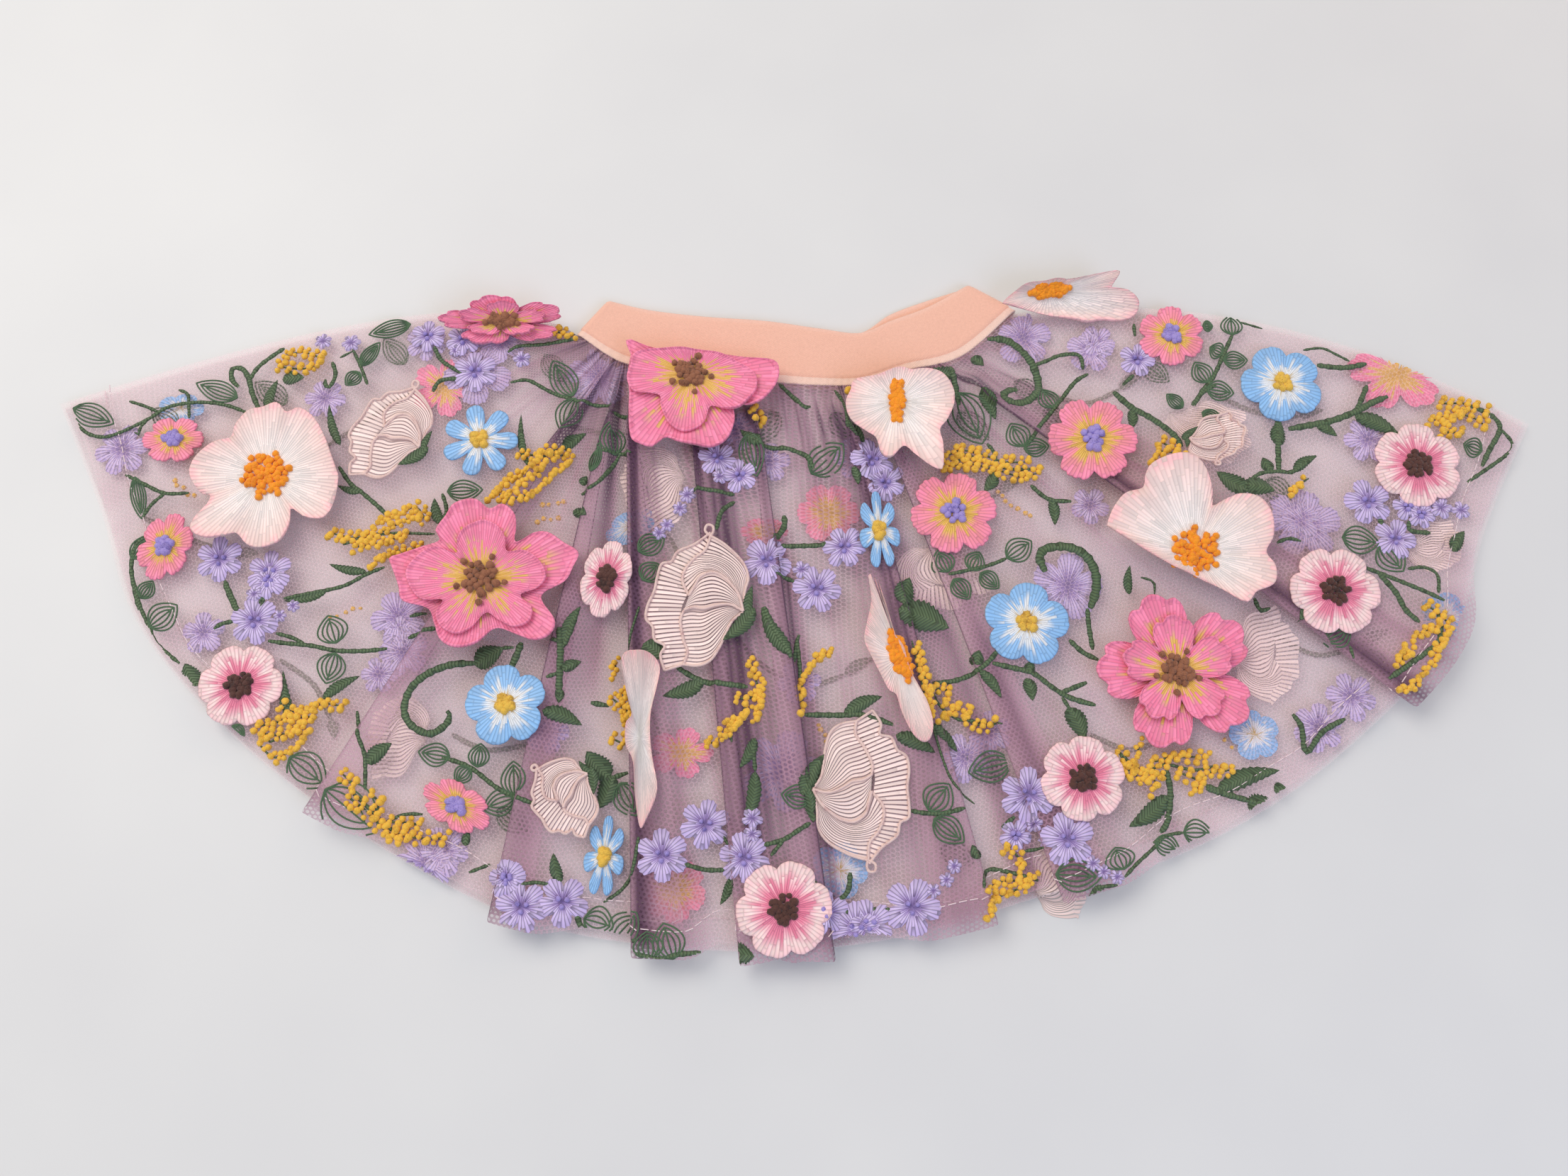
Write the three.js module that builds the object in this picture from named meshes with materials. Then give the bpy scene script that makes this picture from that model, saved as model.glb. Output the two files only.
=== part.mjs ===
import * as THREE from 'three';
import { mergeVertices } from 'three/addons/utils/BufferGeometryUtils.js';

// A child's tutu skirt laid flat: an elastic waistband, an embroidered net over a plain lining,
// each with a front and a back, and stitched flowers that lie on the front.
// Millimetres, +Z up, +Y towards the waist. The back rests on z = 0.

// Driving dimensions
const clothWall = 1.0; // net and lining
const hemWall = 1.5; // net where its hem is turned up
const hemStart = 0.95; // share of the length past which the wall is the turned-up hem's
const seamGap = 0.3;
const elasticWall = 2.0;
const lipWall = 1.2; // the thin lower edge that the net is sewn to
const lipHeight = 3.0;
const bandHeight = 25.0;
const gatherPitch = 8.0; // along the waist, from one gather to the next
const gatherRise = 0.8; // half of a gather's height
const longFoldRise = 0.9; // half of a long soft fold's height
const foldRadius = 0.85; // of the cloth's middle where it turns back
const shortestRun = 1.0; // the stretch between a pleat's two turns where it starts
const runRise = 0.6; // how far the stretch climbs from one turn to the other
const arcSteps = 3;
const fewestColumns = 2; // between two pleats
const settled = 0.16; // share of its height that a pleat's top cloth loses over the pleat's depth
const smallestArea = 1e-9;
const arcAtWaist = 0.3; // share of a turn's length that is left at the waist
const runStep = 12; // longest step along the stretch between a pleat's turns
const upperHang = 0.009; // how much further down upper cloth reaches, for each millimetre up
const rimShare = 0.8; // share of a flower's reach at which it feels the cloth below
const flowerFollow = 0.7; // how far a flower follows that cloth
const sideWidth = 1.5; // rays over which the layers close up towards a side edge
const originInPlan = { x: 3.7, y: -7.9 }; // the middle of the outline, which becomes x = 0, y = 0

// The waistband's lower and top edge in plan, from its left end to its right end.
// peek is how far the back stands out past the front's top edge.
const bandStations = [
  { lowX: -85, lowY: 108, topX: -73, topY: 125, peek: 0 },
  { lowX: -67, lowY: 96, topX: -57, topY: 121, peek: 0 },
  { lowX: -42, lowY: 91, topX: -34, topY: 118, peek: 0 },
  { lowX: -13, lowY: 88, topX: -8, topY: 116, peek: 0 },
  { lowX: 13, lowY: 86, topX: 15, topY: 112.5, peek: 0 },
  { lowX: 32, lowY: 86.5, topX: 32, topY: 110.5, peek: 1 },
  { lowX: 50, lowY: 92.5, topX: 45, topY: 116, peek: 4 },
  { lowX: 74, lowY: 99, topX: 61, topY: 122.5, peek: 4 },
  { lowX: 96, lowY: 119, topX: 77, topY: 132, peek: 0 },
];
const bandEnd = bandStations.length - 1;
const stationPitch = 24.5; // mean distance from one station to the next along the lower edge

// Rays that fan out from the waist to the hem, 50 mm apart along the hem, from the left side edge
// to the right. place is where a ray starts along the band's stations, and bow is how far
// the ray's middle bends off the straight line.
const rays = [
  { place: 0.0, hemX: -296, hemY: 79, bowX: 65, bowY: 49 },
  { place: 0.17, hemX: -275, hemY: 34, bowX: 20, bowY: 28 },
  { place: 0.33, hemX: -256, hemY: -12, bowX: 8, bowY: 14 },
  { place: 0.55, hemX: -223, hemY: -50, bowX: 0, bowY: 6 },
  { place: 0.75, hemX: -185, hemY: -81, bowX: 0, bowY: 0 },
  { place: 0.87, hemX: -142, hemY: -108, bowX: 0, bowY: 0 },
  { place: 1.0, hemX: -97, hemY: -129, bowX: 0, bowY: 0 },
  { place: 1.22, hemX: -50, hemY: -138, bowX: 0, bowY: 0 },
  { place: 2.55, hemX: 0, hemY: -140, bowX: 0, bowY: 0 },
  { place: 3.75, hemX: 49, hemY: -134, bowX: 0, bowY: 0 },
  { place: 5.0, hemX: 97, hemY: -120, bowX: 0, bowY: 0 },
  { place: 5.68, hemX: 144, hemY: -107, bowX: 0, bowY: 0 },
  { place: 6.2, hemX: 188, hemY: -85, bowX: 0, bowY: 0 },
  { place: 6.5, hemX: 228, hemY: -55, bowX: 0, bowY: 0 },
  { place: 6.9, hemX: 263, hemY: -20, bowX: 0, bowY: 4 },
  { place: 7.35, hemX: 282, hemY: 26, bowX: 0, bowY: 12 },
  { place: 8.0, hemX: 305, hemY: 70, bowX: 0, bowY: 40 },
];
const lastRay = rays.length - 1;
const rayPitch = 50; // along the hem

// Pleats of the front net. edge is the ray of the fold that shows, top is the side whose cloth
// lies on top (1 right, -1 left), depth is the fold's depth at the hem, ramp is the number of
// rays over which the top cloth comes back down, and turned is the share of the length at which
// the fold has turned right over.
const frontPleats = [
  { edge: 4.16, top: 1, depth: 9, ramp: 0.5, turned: 0.3 },
  { edge: 5.76, top: 1, depth: 13, ramp: 0.5, turned: 0.2 },
  { edge: 6.88, top: 1, depth: 18, ramp: 0.3, turned: 0.14 },
  { edge: 7.68, top: 1, depth: 8, ramp: 0.3, turned: 0.14 },
  { edge: 8.34, top: -1, depth: 12, ramp: 0.2, turned: 0.14 },
  { edge: 9.58, top: -1, depth: 20, ramp: 0.6, turned: 0.14 },
  { edge: 10.14, top: 1, depth: 20, ramp: 0.6, turned: 0.14 },
  { edge: 13.3, top: 1, depth: 34, ramp: 0.8, turned: 0.14 },
];

// Height of each layer's middle at the waist, halfway down, at the hem and at the side edges
const stack = {
  netBack: { waist: 0.5, middle: 0.5, hem: 0.5, side: 0.5 },
  liningBack: { waist: 1.9, middle: 3.2, hem: 2.6, side: 1.8 },
  liningFront: { waist: 4.0, middle: 5.6, hem: 4.6, side: 3.1 },
  netFront: { waist: 5.6, middle: 7.6, hem: 6.4, side: 4.4 },
};

// Rows of points from the waist, at 0, to the hem, at 1
const frontRows = [0, 0.035, 0.07, 0.105, 0.14, 0.24, 0.42, 0.66, 0.9, 1];
const backRows = [0, 0.2, 0.5, 0.8, 1];
const liningRows = [0, 0.1, 0.35, 0.65, 1];

// The lining stands out past the net by this much, at its side edges in rays and at its hem
// as a share of the length
const liningPast = { side: 0.06, hem: 0.012 };

const finish = {
  net: { color: '#c3a6b8', roughness: 0.85, metalness: 0 },
  lining: { color: '#e4d8dc', roughness: 0.8, metalness: 0 },
  elastic: { color: '#efb49c', roughness: 0.9, metalness: 0 },
  rose: { color: '#e77f9c', roughness: 0.55, metalness: 0 },
  white: { color: '#efdcd8', roughness: 0.55, metalness: 0 },
  bell: { color: '#dcb3b4', roughness: 0.55, metalness: 0 },
  anemone: { color: '#e8b0ba', roughness: 0.55, metalness: 0 },
  aster: { color: '#e98b92', roughness: 0.55, metalness: 0 },
  blue: { color: '#8fb2de', roughness: 0.55, metalness: 0 },
};

function mix(from, to, share) {
  return from + (to - from) * share;
}

function ease(value) {
  const share = Math.min(1, Math.max(0, value));
  return share * share * (3 - 2 * share);
}

// A smooth curve through one column of a table, at a row number with a fraction
function along(table, row, column) {
  const last = table.length - 1;
  const first = Math.min(last - 1, Math.max(0, Math.floor(row)));
  const share = row - first;
  const value = (index) => table[Math.min(last, Math.max(0, index))][column];
  const startSlope = (value(first + 1) - value(first - 1)) / 2;
  const endSlope = (value(first + 2) - value(first)) / 2;
  const rise = value(first + 1) - value(first);
  const square = 3 * rise - 2 * startSlope - endSlope;
  const cube = startSlope + endSlope - 2 * rise;
  return value(first) + share * (startSlope + share * (square + share * cube));
}

// A point of the waistband in plan. height runs from 0 at the lower edge to 1 at the top edge.
function bandPoint(place, height) {
  return {
    x: mix(along(bandStations, place, 'lowX'), along(bandStations, place, 'topX'), height),
    y: mix(along(bandStations, place, 'lowY'), along(bandStations, place, 'topY'), height),
  };
}

// A point of the skirt in plan, by ray and by share of the way from the waist to the hem
function fan(ray, down) {
  const place = along(rays, ray, 'place');
  const low = bandPoint(place, 0);
  const top = bandPoint(place, 1);
  const width = Math.hypot(low.x - top.x, low.y - top.y);
  const waistX = low.x + (seamGap * (low.x - top.x)) / width;
  const waistY = low.y + (seamGap * (low.y - top.y)) / width;
  const bend = 2 * down * (1 - down);
  return {
    x: mix(waistX, along(rays, ray, 'hemX'), down) + bend * along(rays, ray, 'bowX'),
    y: mix(waistY, along(rays, ray, 'hemY'), down) + bend * along(rays, ray, 'bowY'),
  };
}

// The direction across the rays in plan, and the millimetres in one ray's width
function across(ray, down) {
  const step = 0.02;
  const before = fan(ray - step, down);
  const after = fan(ray + step, down);
  const length = Math.hypot(after.x - before.x, after.y - before.y);
  return {
    x: (after.x - before.x) / length,
    y: (after.y - before.y) / length,
    scale: length / (2 * step),
  };
}

function layerHeight(layer, ray, down) {
  const heights = stack[layer];
  const upper = mix(heights.waist, heights.middle, ease(down / 0.3));
  const inside = mix(upper, heights.hem, ease((down - 0.55) / 0.4));
  const fromSide = ease(Math.min(ray, lastRay - ray) / sideWidth);
  return mix(heights.side, inside, fromSide);
}

// Gathers that fade on the way down, and long soft folds that grow towards the hem
function ripple(ray, down) {
  const waistAngle = (2 * Math.PI * along(rays, ray, 'place') * stationPitch) / gatherPitch;
  const gather = gatherRise * mix(0.5, 1, ease(down / 0.1)) * (1 - ease(down / 0.5));
  const wave = Math.sin(2.4 * ray + 0.6) + 0.5 * Math.sin(4.3 * ray + 2);
  const fold = longFoldRise * ease((down - 0.2) / 0.4) * (1 - 0.5 * ease((down - 0.7) / 0.3));
  const sideShare = ease(Math.min(ray, lastRay - ray));
  return sideShare * (gather * (1 + Math.sin(waistAngle)) + fold * (1.5 + wave));
}

// One pleat's cross-section on a row: two turns with a stretch of cloth between them.
// It gives steps across, from the middle in millimetres, and heights above the start.
function pleatSection(pleat, down) {
  const turn = Math.PI * ease(down / pleat.turned);
  const arcShare = mix(arcAtWaist, 1, ease((2 * down) / pleat.turned));
  const arcStep = ((Math.PI * foldRadius) / arcSteps) * arcShare;
  const run = Math.max(shortestRun, pleat.depth * down);
  const steps = [{ across: 0, up: 0 }];
  const move = (angle, length, climb) => {
    const from = steps[steps.length - 1];
    steps.push({
      across: from.across + length * Math.cos(angle),
      up: from.up + climb,
    });
  };
  for (let step = 0; step < arcSteps; step += 1) {
    const angle = (turn * (step + 0.5)) / arcSteps;
    move(angle, arcStep, arcStep * Math.sin(angle));
  }
  const runClimb = shortestRun * Math.sin(turn) + (runRise * turn) / Math.PI;
  const runSteps = Math.ceil(pleat.depth / runStep);
  for (let step = 0; step < runSteps; step += 1) {
    move(turn, run / runSteps, runClimb / runSteps);
  }
  for (let step = arcSteps - 1; step >= 0; step -= 1) {
    const angle = (turn * (step + 0.5)) / arcSteps;
    move(angle, arcStep, arcStep * Math.sin(angle));
  }
  const end = steps[steps.length - 1];
  const middle = end.across / 2;
  const total = end.up;
  const points = steps.map((step) => ({
    across: step.across - middle,
    up: pleat.top > 0 ? step.up : total - step.up,
  }));
  return { points, total, shift: (pleat.top * (run - shortestRun)) / 2, run };
}

// How high a pleat's top cloth still lies where it has passed the fold
function rampHeight(pleat, section, scale, ray) {
  const past = (ray - pleat.edge) * pleat.top;
  const depth = section.run / scale;
  if (past <= 0) {
    return section.total;
  }
  if (past < depth) {
    return section.total * (1 - (settled * past) / depth);
  }
  return section.total * (1 - settled) * (1 - ease((past - depth) / pleat.ramp));
}

// The stretches between pleats, each with its number of columns
function stretches(pleats, waistStep, hemStep, firstRay, endRay) {
  const stops = [firstRay, ...pleats.map((pleat) => pleat.edge), endRay];
  return stops.slice(1).map((stop, index) => {
    const atWaist = along(rays, stop, 'place') - along(rays, stops[index], 'place');
    const columns = Math.max(
      (atWaist * stationPitch) / waistStep,
      ((stop - stops[index]) * rayPitch) / hemStep,
      fewestColumns,
    );
    return Math.ceil(columns);
  });
}

// One row of a panel: each column's ray and its height above the layer
function rowColumns(pleats, counts, down, firstRay, endRay) {
  const sections = pleats.map((pleat) => {
    const section = pleatSection(pleat, down);
    const scale = across(pleat.edge, down).scale;
    const middle = pleat.edge + section.shift / scale;
    const columns = section.points.map((point) => ({
      ray: middle + point.across / scale,
      up: point.up,
    }));
    return { pleat, section, scale, columns };
  });
  const row = [];
  const add = (ray, own, up) => {
    let height = up;
    sections.forEach((item, index) => {
      const passed = item.pleat.top > 0 ? index < own : index >= Math.ceil(own);
      if (passed && index !== own) {
        height += rampHeight(item.pleat, item.section, item.scale, ray);
      }
    });
    row.push({ ray, up: height });
  };
  counts.forEach((count, index) => {
    const from = index === 0 ? firstRay : sections[index - 1].columns.at(-1).ray;
    const to = index === sections.length ? endRay : sections[index].columns[0].ray;
    const begin = index === 0 ? 0 : 1;
    const end = index === sections.length ? count : count - 1;
    for (let step = begin; step <= end; step += 1) {
      add(mix(from, to, step / count), index - 0.5, 0);
    }
    if (index < sections.length) {
      sections[index].columns.forEach((column) => add(column.ray, index, column.up));
    }
  });
  return row;
}

// A panel's grid of middle points with the direction in which its wall is thick
function panelGrid({ layer, pleats, rows, waistStep, hemStep, side, hemPast, rippled }) {
  const firstRay = -side;
  const endRay = lastRay + side;
  const counts = stretches(pleats, waistStep, hemStep, firstRay, endRay);
  return rows.map((down) => {
    const columns = rowColumns(pleats, counts, down, firstRay, endRay);
    const points = columns.map(({ ray, up }) => {
      const reach = down * (1 + upperHang * up + hemPast);
      const plan = fan(ray, reach);
      const lift = rippled ? ripple(ray, down) : 0;
      return { ...plan, z: layerHeight(layer, ray, down) + lift + up, tangent: across(ray, down) };
    });
    return points.map((point, index) => {
      const before = points[Math.max(0, index - 1)];
      const after = points[Math.min(points.length - 1, index + 1)];
      const run =
        (after.x - before.x) * point.tangent.x + (after.y - before.y) * point.tangent.y;
      const climb = after.z - before.z;
      const length = Math.hypot(run, climb);
      return {
        at: new THREE.Vector3(point.x, point.y, point.z),
        out: new THREE.Vector3(
          (-climb / length) * point.tangent.x,
          (-climb / length) * point.tangent.y,
          run / length,
        ),
      };
    });
  });
}

// A closed geometry from positions and triangles, turned so that its faces point out
function closedGeometry(positions, triangles) {
  const corner = (index) => new THREE.Vector3().fromArray(positions, index * 3);
  let volume = 0;
  for (let index = 0; index < triangles.length; index += 3) {
    const [a, b, c] = [0, 1, 2].map((offset) => corner(triangles[index + offset]));
    volume += a.dot(b.cross(c));
  }
  const ordered = [...triangles];
  if (volume < 0) {
    ordered.reverse();
  }
  const geometry = new THREE.BufferGeometry();
  geometry.setAttribute('position', new THREE.Float32BufferAttribute(positions, 3));
  geometry.setIndex(ordered);
  const merged = mergeVertices(geometry, 1e-5);
  merged.computeVertexNormals();
  return merged;
}

// A wall of cloth around a grid of middle points. halves gives half the wall for each row,
// and a ring closes on itself along its rows.
function wall(grid, halves, ring = false) {
  const rowCount = grid.length;
  const columnCount = grid[0].length;
  const positions = [];
  [1, -1].forEach((side) => {
    grid.forEach((row, rowIndex) => {
      row.forEach(({ at, out }) => {
        const point = at.clone().addScaledVector(out, side * halves[rowIndex]);
        positions.push(point.x, point.y, point.z);
      });
    });
  });
  const vertex = (side, row, column) =>
    (side * rowCount + row) * columnCount + (column % columnCount);
  const triangles = [];
  const quad = (a, b, c, d) => triangles.push(a, b, c, a, c, d);
  const columnSteps = ring ? columnCount : columnCount - 1;
  for (let row = 0; row < rowCount - 1; row += 1) {
    for (let column = 0; column < columnSteps; column += 1) {
      quad(
        vertex(0, row, column),
        vertex(0, row + 1, column),
        vertex(0, row + 1, column + 1),
        vertex(0, row, column + 1),
      );
      quad(
        vertex(1, row, column),
        vertex(1, row, column + 1),
        vertex(1, row + 1, column + 1),
        vertex(1, row + 1, column),
      );
    }
  }
  for (let column = 0; column < columnSteps; column += 1) {
    const hem = rowCount - 1;
    quad(
      vertex(0, 0, column),
      vertex(0, 0, column + 1),
      vertex(1, 0, column + 1),
      vertex(1, 0, column),
    );
    quad(
      vertex(0, hem, column),
      vertex(1, hem, column),
      vertex(1, hem, column + 1),
      vertex(0, hem, column + 1),
    );
  }
  if (!ring) {
    const side = columnCount - 1;
    for (let row = 0; row < rowCount - 1; row += 1) {
      quad(vertex(0, row, 0), vertex(1, row, 0), vertex(1, row + 1, 0), vertex(0, row + 1, 0));
      quad(
        vertex(0, row, side),
        vertex(0, row + 1, side),
        vertex(1, row + 1, side),
        vertex(1, row, side),
      );
    }
  }
  return closedGeometry(positions, triangles);
}

function netHalves(rows) {
  return rows.map((down) => (down < hemStart ? clothWall : hemWall) / 2);
}

// The waistband: one elastic ring pressed flat, with a thin lip along its lower edge
function waistband() {
  const middle = { backZ: 1.0, frontLowZ: 5.2, frontTopZ: 3.4 };
  const lipStep = 0.4; // height over which the lip thickens to the elastic
  const heights = [0, lipHeight / bandHeight, (lipHeight + lipStep) / bandHeight, 1];
  const halves = [lipWall, lipWall, elasticWall, elasticWall].map((thickness) => thickness / 2);
  const stepsPerStation = 2;
  const turnSteps = 5;
  const loop = [];
  const length = bandEnd * stepsPerStation;
  for (let step = 0; step <= length; step += 1) {
    loop.push({ place: step / stepsPerStation, angle: 0, end: 1 });
  }
  for (let step = 1; step < turnSteps; step += 1) {
    loop.push({ place: bandEnd, angle: (Math.PI * step) / turnSteps, end: 1 });
  }
  for (let step = length; step >= 0; step -= 1) {
    loop.push({ place: step / stepsPerStation, angle: Math.PI, end: -1 });
  }
  for (let step = turnSteps - 1; step > 0; step -= 1) {
    loop.push({ place: 0, angle: (Math.PI * step) / turnSteps, end: -1 });
  }
  const grid = heights.map((height) => {
    const frontZ = mix(middle.frontLowZ, middle.frontTopZ, height);
    const radius = (frontZ - middle.backZ) / 2;
    return loop.map(({ place, angle, end }) => {
      const plan = bandPoint(place, height);
      const ahead = bandPoint(Math.min(bandEnd, place + 0.05), height);
      const behind = bandPoint(Math.max(0, place - 0.05), height);
      const span = Math.hypot(ahead.x - behind.x, ahead.y - behind.y);
      const outX = ((ahead.x - behind.x) / span) * end * Math.sin(angle);
      const outY = ((ahead.y - behind.y) / span) * end * Math.sin(angle);
      const backShare = (1 - Math.cos(angle)) / 2;
      const peek = along(bandStations, place, 'peek') * backShare * height;
      const z = middle.backZ + radius * (1 + Math.cos(angle));
      return {
        at: new THREE.Vector3(plan.x + radius * outX, plan.y + radius * outY + peek, z),
        out: new THREE.Vector3(outX, outY, Math.cos(angle)),
      };
    });
  });
  return wall(grid, halves, true);
}

// The height of a triangle over a point in plan, or null beside it
function heightOn({ a, b, c }, x, y) {
  const area = (b.x - a.x) * (c.y - a.y) - (c.x - a.x) * (b.y - a.y);
  if (Math.abs(area) < smallestArea) {
    return null;
  }
  const shareB = ((x - a.x) * (c.y - a.y) - (c.x - a.x) * (y - a.y)) / area;
  const shareC = ((b.x - a.x) * (y - a.y) - (x - a.x) * (b.y - a.y)) / area;
  if (shareB < 0 || shareC < 0 || shareB + shareC > 1) {
    return null;
  }
  return a.z + shareB * (b.z - a.z) + shareC * (c.z - a.z);
}

// The highest point of some solids over a point in plan
function topAt(solids, x, y) {
  let top = -Infinity;
  solids.forEach(({ box, faces }) => {
    if (x < box.min.x || x > box.max.x || y < box.min.y || y > box.max.y) {
      return;
    }
    faces.forEach((face) => {
      if (x < face.minX || x > face.maxX || y < face.minY || y > face.maxY) {
        return;
      }
      const height = heightOn(face, x, y);
      if (height !== null) {
        top = Math.max(top, height);
      }
    });
  });
  return top;
}

function solidFaces(geometry) {
  const position = geometry.getAttribute('position');
  const index = geometry.getIndex();
  const corner = (place) => new THREE.Vector3().fromBufferAttribute(position, index.getX(place));
  const faces = [];
  for (let place = 0; place < index.count; place += 3) {
    const [a, b, c] = [corner(place), corner(place + 1), corner(place + 2)];
    const box = new THREE.Box3().setFromPoints([a, b, c]);
    faces.push({ a, b, c, minX: box.min.x, maxX: box.max.x, minY: box.min.y, maxY: box.max.y });
  }
  geometry.computeBoundingBox();
  return { box: geometry.boundingBox, faces };
}

// Petal outlines, as a share of the flower's reach at an angle
const outlines = {
  rose: (angle) => 0.78 + 0.22 * Math.abs(Math.cos(4 * angle)) ** 0.7,
  white: (angle) => 0.8 + 0.2 * Math.abs(Math.cos(2.5 * angle)) ** 0.5,
  bell: (angle) => 0.76 - 0.2 * Math.cos(angle) + 0.06 * Math.cos(2 * angle),
  anemone: (angle) => 0.86 + 0.14 * Math.abs(Math.cos(3 * angle)) ** 0.6,
  aster: (angle) => 0.84 + 0.16 * Math.abs(Math.cos(3 * angle)) ** 0.6,
  blue: (angle) => 0.8 + 0.2 * Math.abs(Math.cos(2.5 * angle)) ** 0.6,
};

// Each kind's form from its top centre out over the edge and back to the centre below:
// reach as a share of the flower's reach, and the height above its foot
const flatForm = [
  { reach: 0, up: 1.9 },
  { reach: 0.3, up: 1.7 },
  { reach: 1, up: 1.2 },
  { reach: 1, up: 0.2 },
  { reach: 0, up: 0 },
];
const forms = {
  rose: {
    spokes: 16,
    rings: [
      { reach: 0, up: 4.4 },
      { reach: 0.3, up: 4.0 },
      { reach: 0.64, up: 6.4 },
      { reach: 0.72, up: 4.0 },
      { reach: 1, up: 5.4 },
      { reach: 1, up: 4.2 },
      { reach: 0.45, up: 0 },
      { reach: 0, up: 0 },
    ],
  },
  white: {
    spokes: 15,
    rings: [
      { reach: 0, up: 4.2 },
      { reach: 0.28, up: 3.4 },
      { reach: 0.65, up: 4.4 },
      { reach: 1, up: 6.6 },
      { reach: 1, up: 5.4 },
      { reach: 0.4, up: 0 },
      { reach: 0, up: 0 },
    ],
  },
  bell: { spokes: 14, rings: flatForm },
  anemone: { spokes: 12, rings: flatForm },
  aster: { spokes: 12, rings: flatForm },
  blue: { spokes: 15, rings: flatForm },
};

// Flowers on the front. x and y are the centre, turn is in degrees, narrow is the share that is
// left of its width where it lies folded or on edge, and lift is how far its far side stands up.
const flowers = [
  { kind: 'rose', x: -119, y: -1, reach: 36, turn: 10, narrow: 1, lift: 0 },
  { kind: 'rose', x: -39, y: 84, reach: 31, turn: 20, narrow: 1, lift: 0 },
  { kind: 'rose', x: 153, y: -37, reach: 32, turn: 5, narrow: 1, lift: 0 },
  { kind: 'rose', x: -117, y: 112, reach: 27, turn: 0, narrow: 0.36, lift: 9 },
  { kind: 'white', x: -210, y: 43, reach: 31, turn: 15, narrow: 1, lift: 0 },
  { kind: 'white', x: 47, y: 70, reach: 22, turn: 40, narrow: 0.95, lift: 0 },
  { kind: 'white', x: 164, y: 22, reach: 33, turn: 30, narrow: 0.9, lift: 3 },
  { kind: 'white', x: 121, y: 118, reach: 27, turn: 8, narrow: 0.32, lift: 10 },
  { kind: 'white', x: -56, y: -64, reach: 34, turn: 90, narrow: 0.2, lift: 8 },
  { kind: 'white', x: 44, y: -38, reach: 33, turn: 108, narrow: 0.34, lift: 7 },
  { kind: 'bell', x: -160, y: 65, reach: 21, turn: 215, narrow: 1, lift: 0 },
  { kind: 'bell', x: -33, y: -7, reach: 27, turn: 155, narrow: 1, lift: 0 },
  { kind: 'bell', x: 29, y: -85, reach: 27, turn: 20, narrow: 1, lift: 0 },
  { kind: 'bell', x: -84, y: -85, reach: 18, turn: 200, narrow: 0.8, lift: 0 },
  { kind: 'bell', x: 176, y: 60, reach: 17, turn: 150, narrow: 0.6, lift: 0 },
  { kind: 'anemone', x: -212, y: -42, reach: 16.5, turn: 0, narrow: 1, lift: 0 },
  { kind: 'anemone', x: -70, y: 0, reach: 16, turn: 80, narrow: 0.62, lift: 0 },
  { kind: 'anemone', x: 114, y: -79, reach: 16.5, turn: 20, narrow: 1, lift: 0 },
  { kind: 'anemone', x: 0, y: -128, reach: 18, turn: 10, narrow: 1, lift: 0 },
  { kind: 'anemone', x: 217, y: -5, reach: 18, turn: 0, narrow: 1, lift: 0 },
  { kind: 'anemone', x: 258, y: 50, reach: 18, turn: 25, narrow: 1, lift: 0 },
  { kind: 'aster', x: -250, y: 61, reach: 13, turn: 0, narrow: 0.8, lift: 0 },
  { kind: 'aster', x: -248, y: 15, reach: 14.5, turn: 75, narrow: 0.75, lift: 0 },
  { kind: 'aster', x: -125, y: -89, reach: 15, turn: 150, narrow: 0.6, lift: 0 },
  { kind: 'aster', x: 125, y: 59, reach: 18.5, turn: 0, narrow: 1, lift: 0 },
  { kind: 'aster', x: 68, y: 28, reach: 18, turn: 15, narrow: 1, lift: 0 },
  { kind: 'aster', x: 162, y: 108, reach: 14.5, turn: 30, narrow: 0.95, lift: 0 },
  { kind: 'blue', x: -124, y: 60, reach: 15.5, turn: 0, narrow: 1, lift: 0 },
  { kind: 'blue', x: -107, y: -51, reach: 16, turn: 30, narrow: 1, lift: 0 },
  { kind: 'blue', x: -68, y: -108, reach: 15.5, turn: 85, narrow: 0.5, lift: 0 },
  { kind: 'blue', x: 38, y: 20, reach: 16.5, turn: 95, narrow: 0.5, lift: 0 },
  { kind: 'blue', x: 95, y: -18, reach: 17, turn: 10, narrow: 1, lift: 0 },
  { kind: 'blue', x: 206, y: 86, reach: 17, turn: 40, narrow: 1, lift: 0 },
];

// A point of a flower in plan, by share of its reach and by angle
function flowerPoint(flower, share, angle) {
  const turn = THREE.MathUtils.degToRad(flower.turn);
  const reach = share * flower.reach * outlines[flower.kind](angle);
  const alongX = reach * Math.cos(angle);
  const alongY = reach * Math.sin(angle) * flower.narrow;
  return {
    x: flower.x + alongX * Math.cos(turn) - alongY * Math.sin(turn),
    y: flower.y + alongX * Math.sin(turn) + alongY * Math.cos(turn),
  };
}

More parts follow.
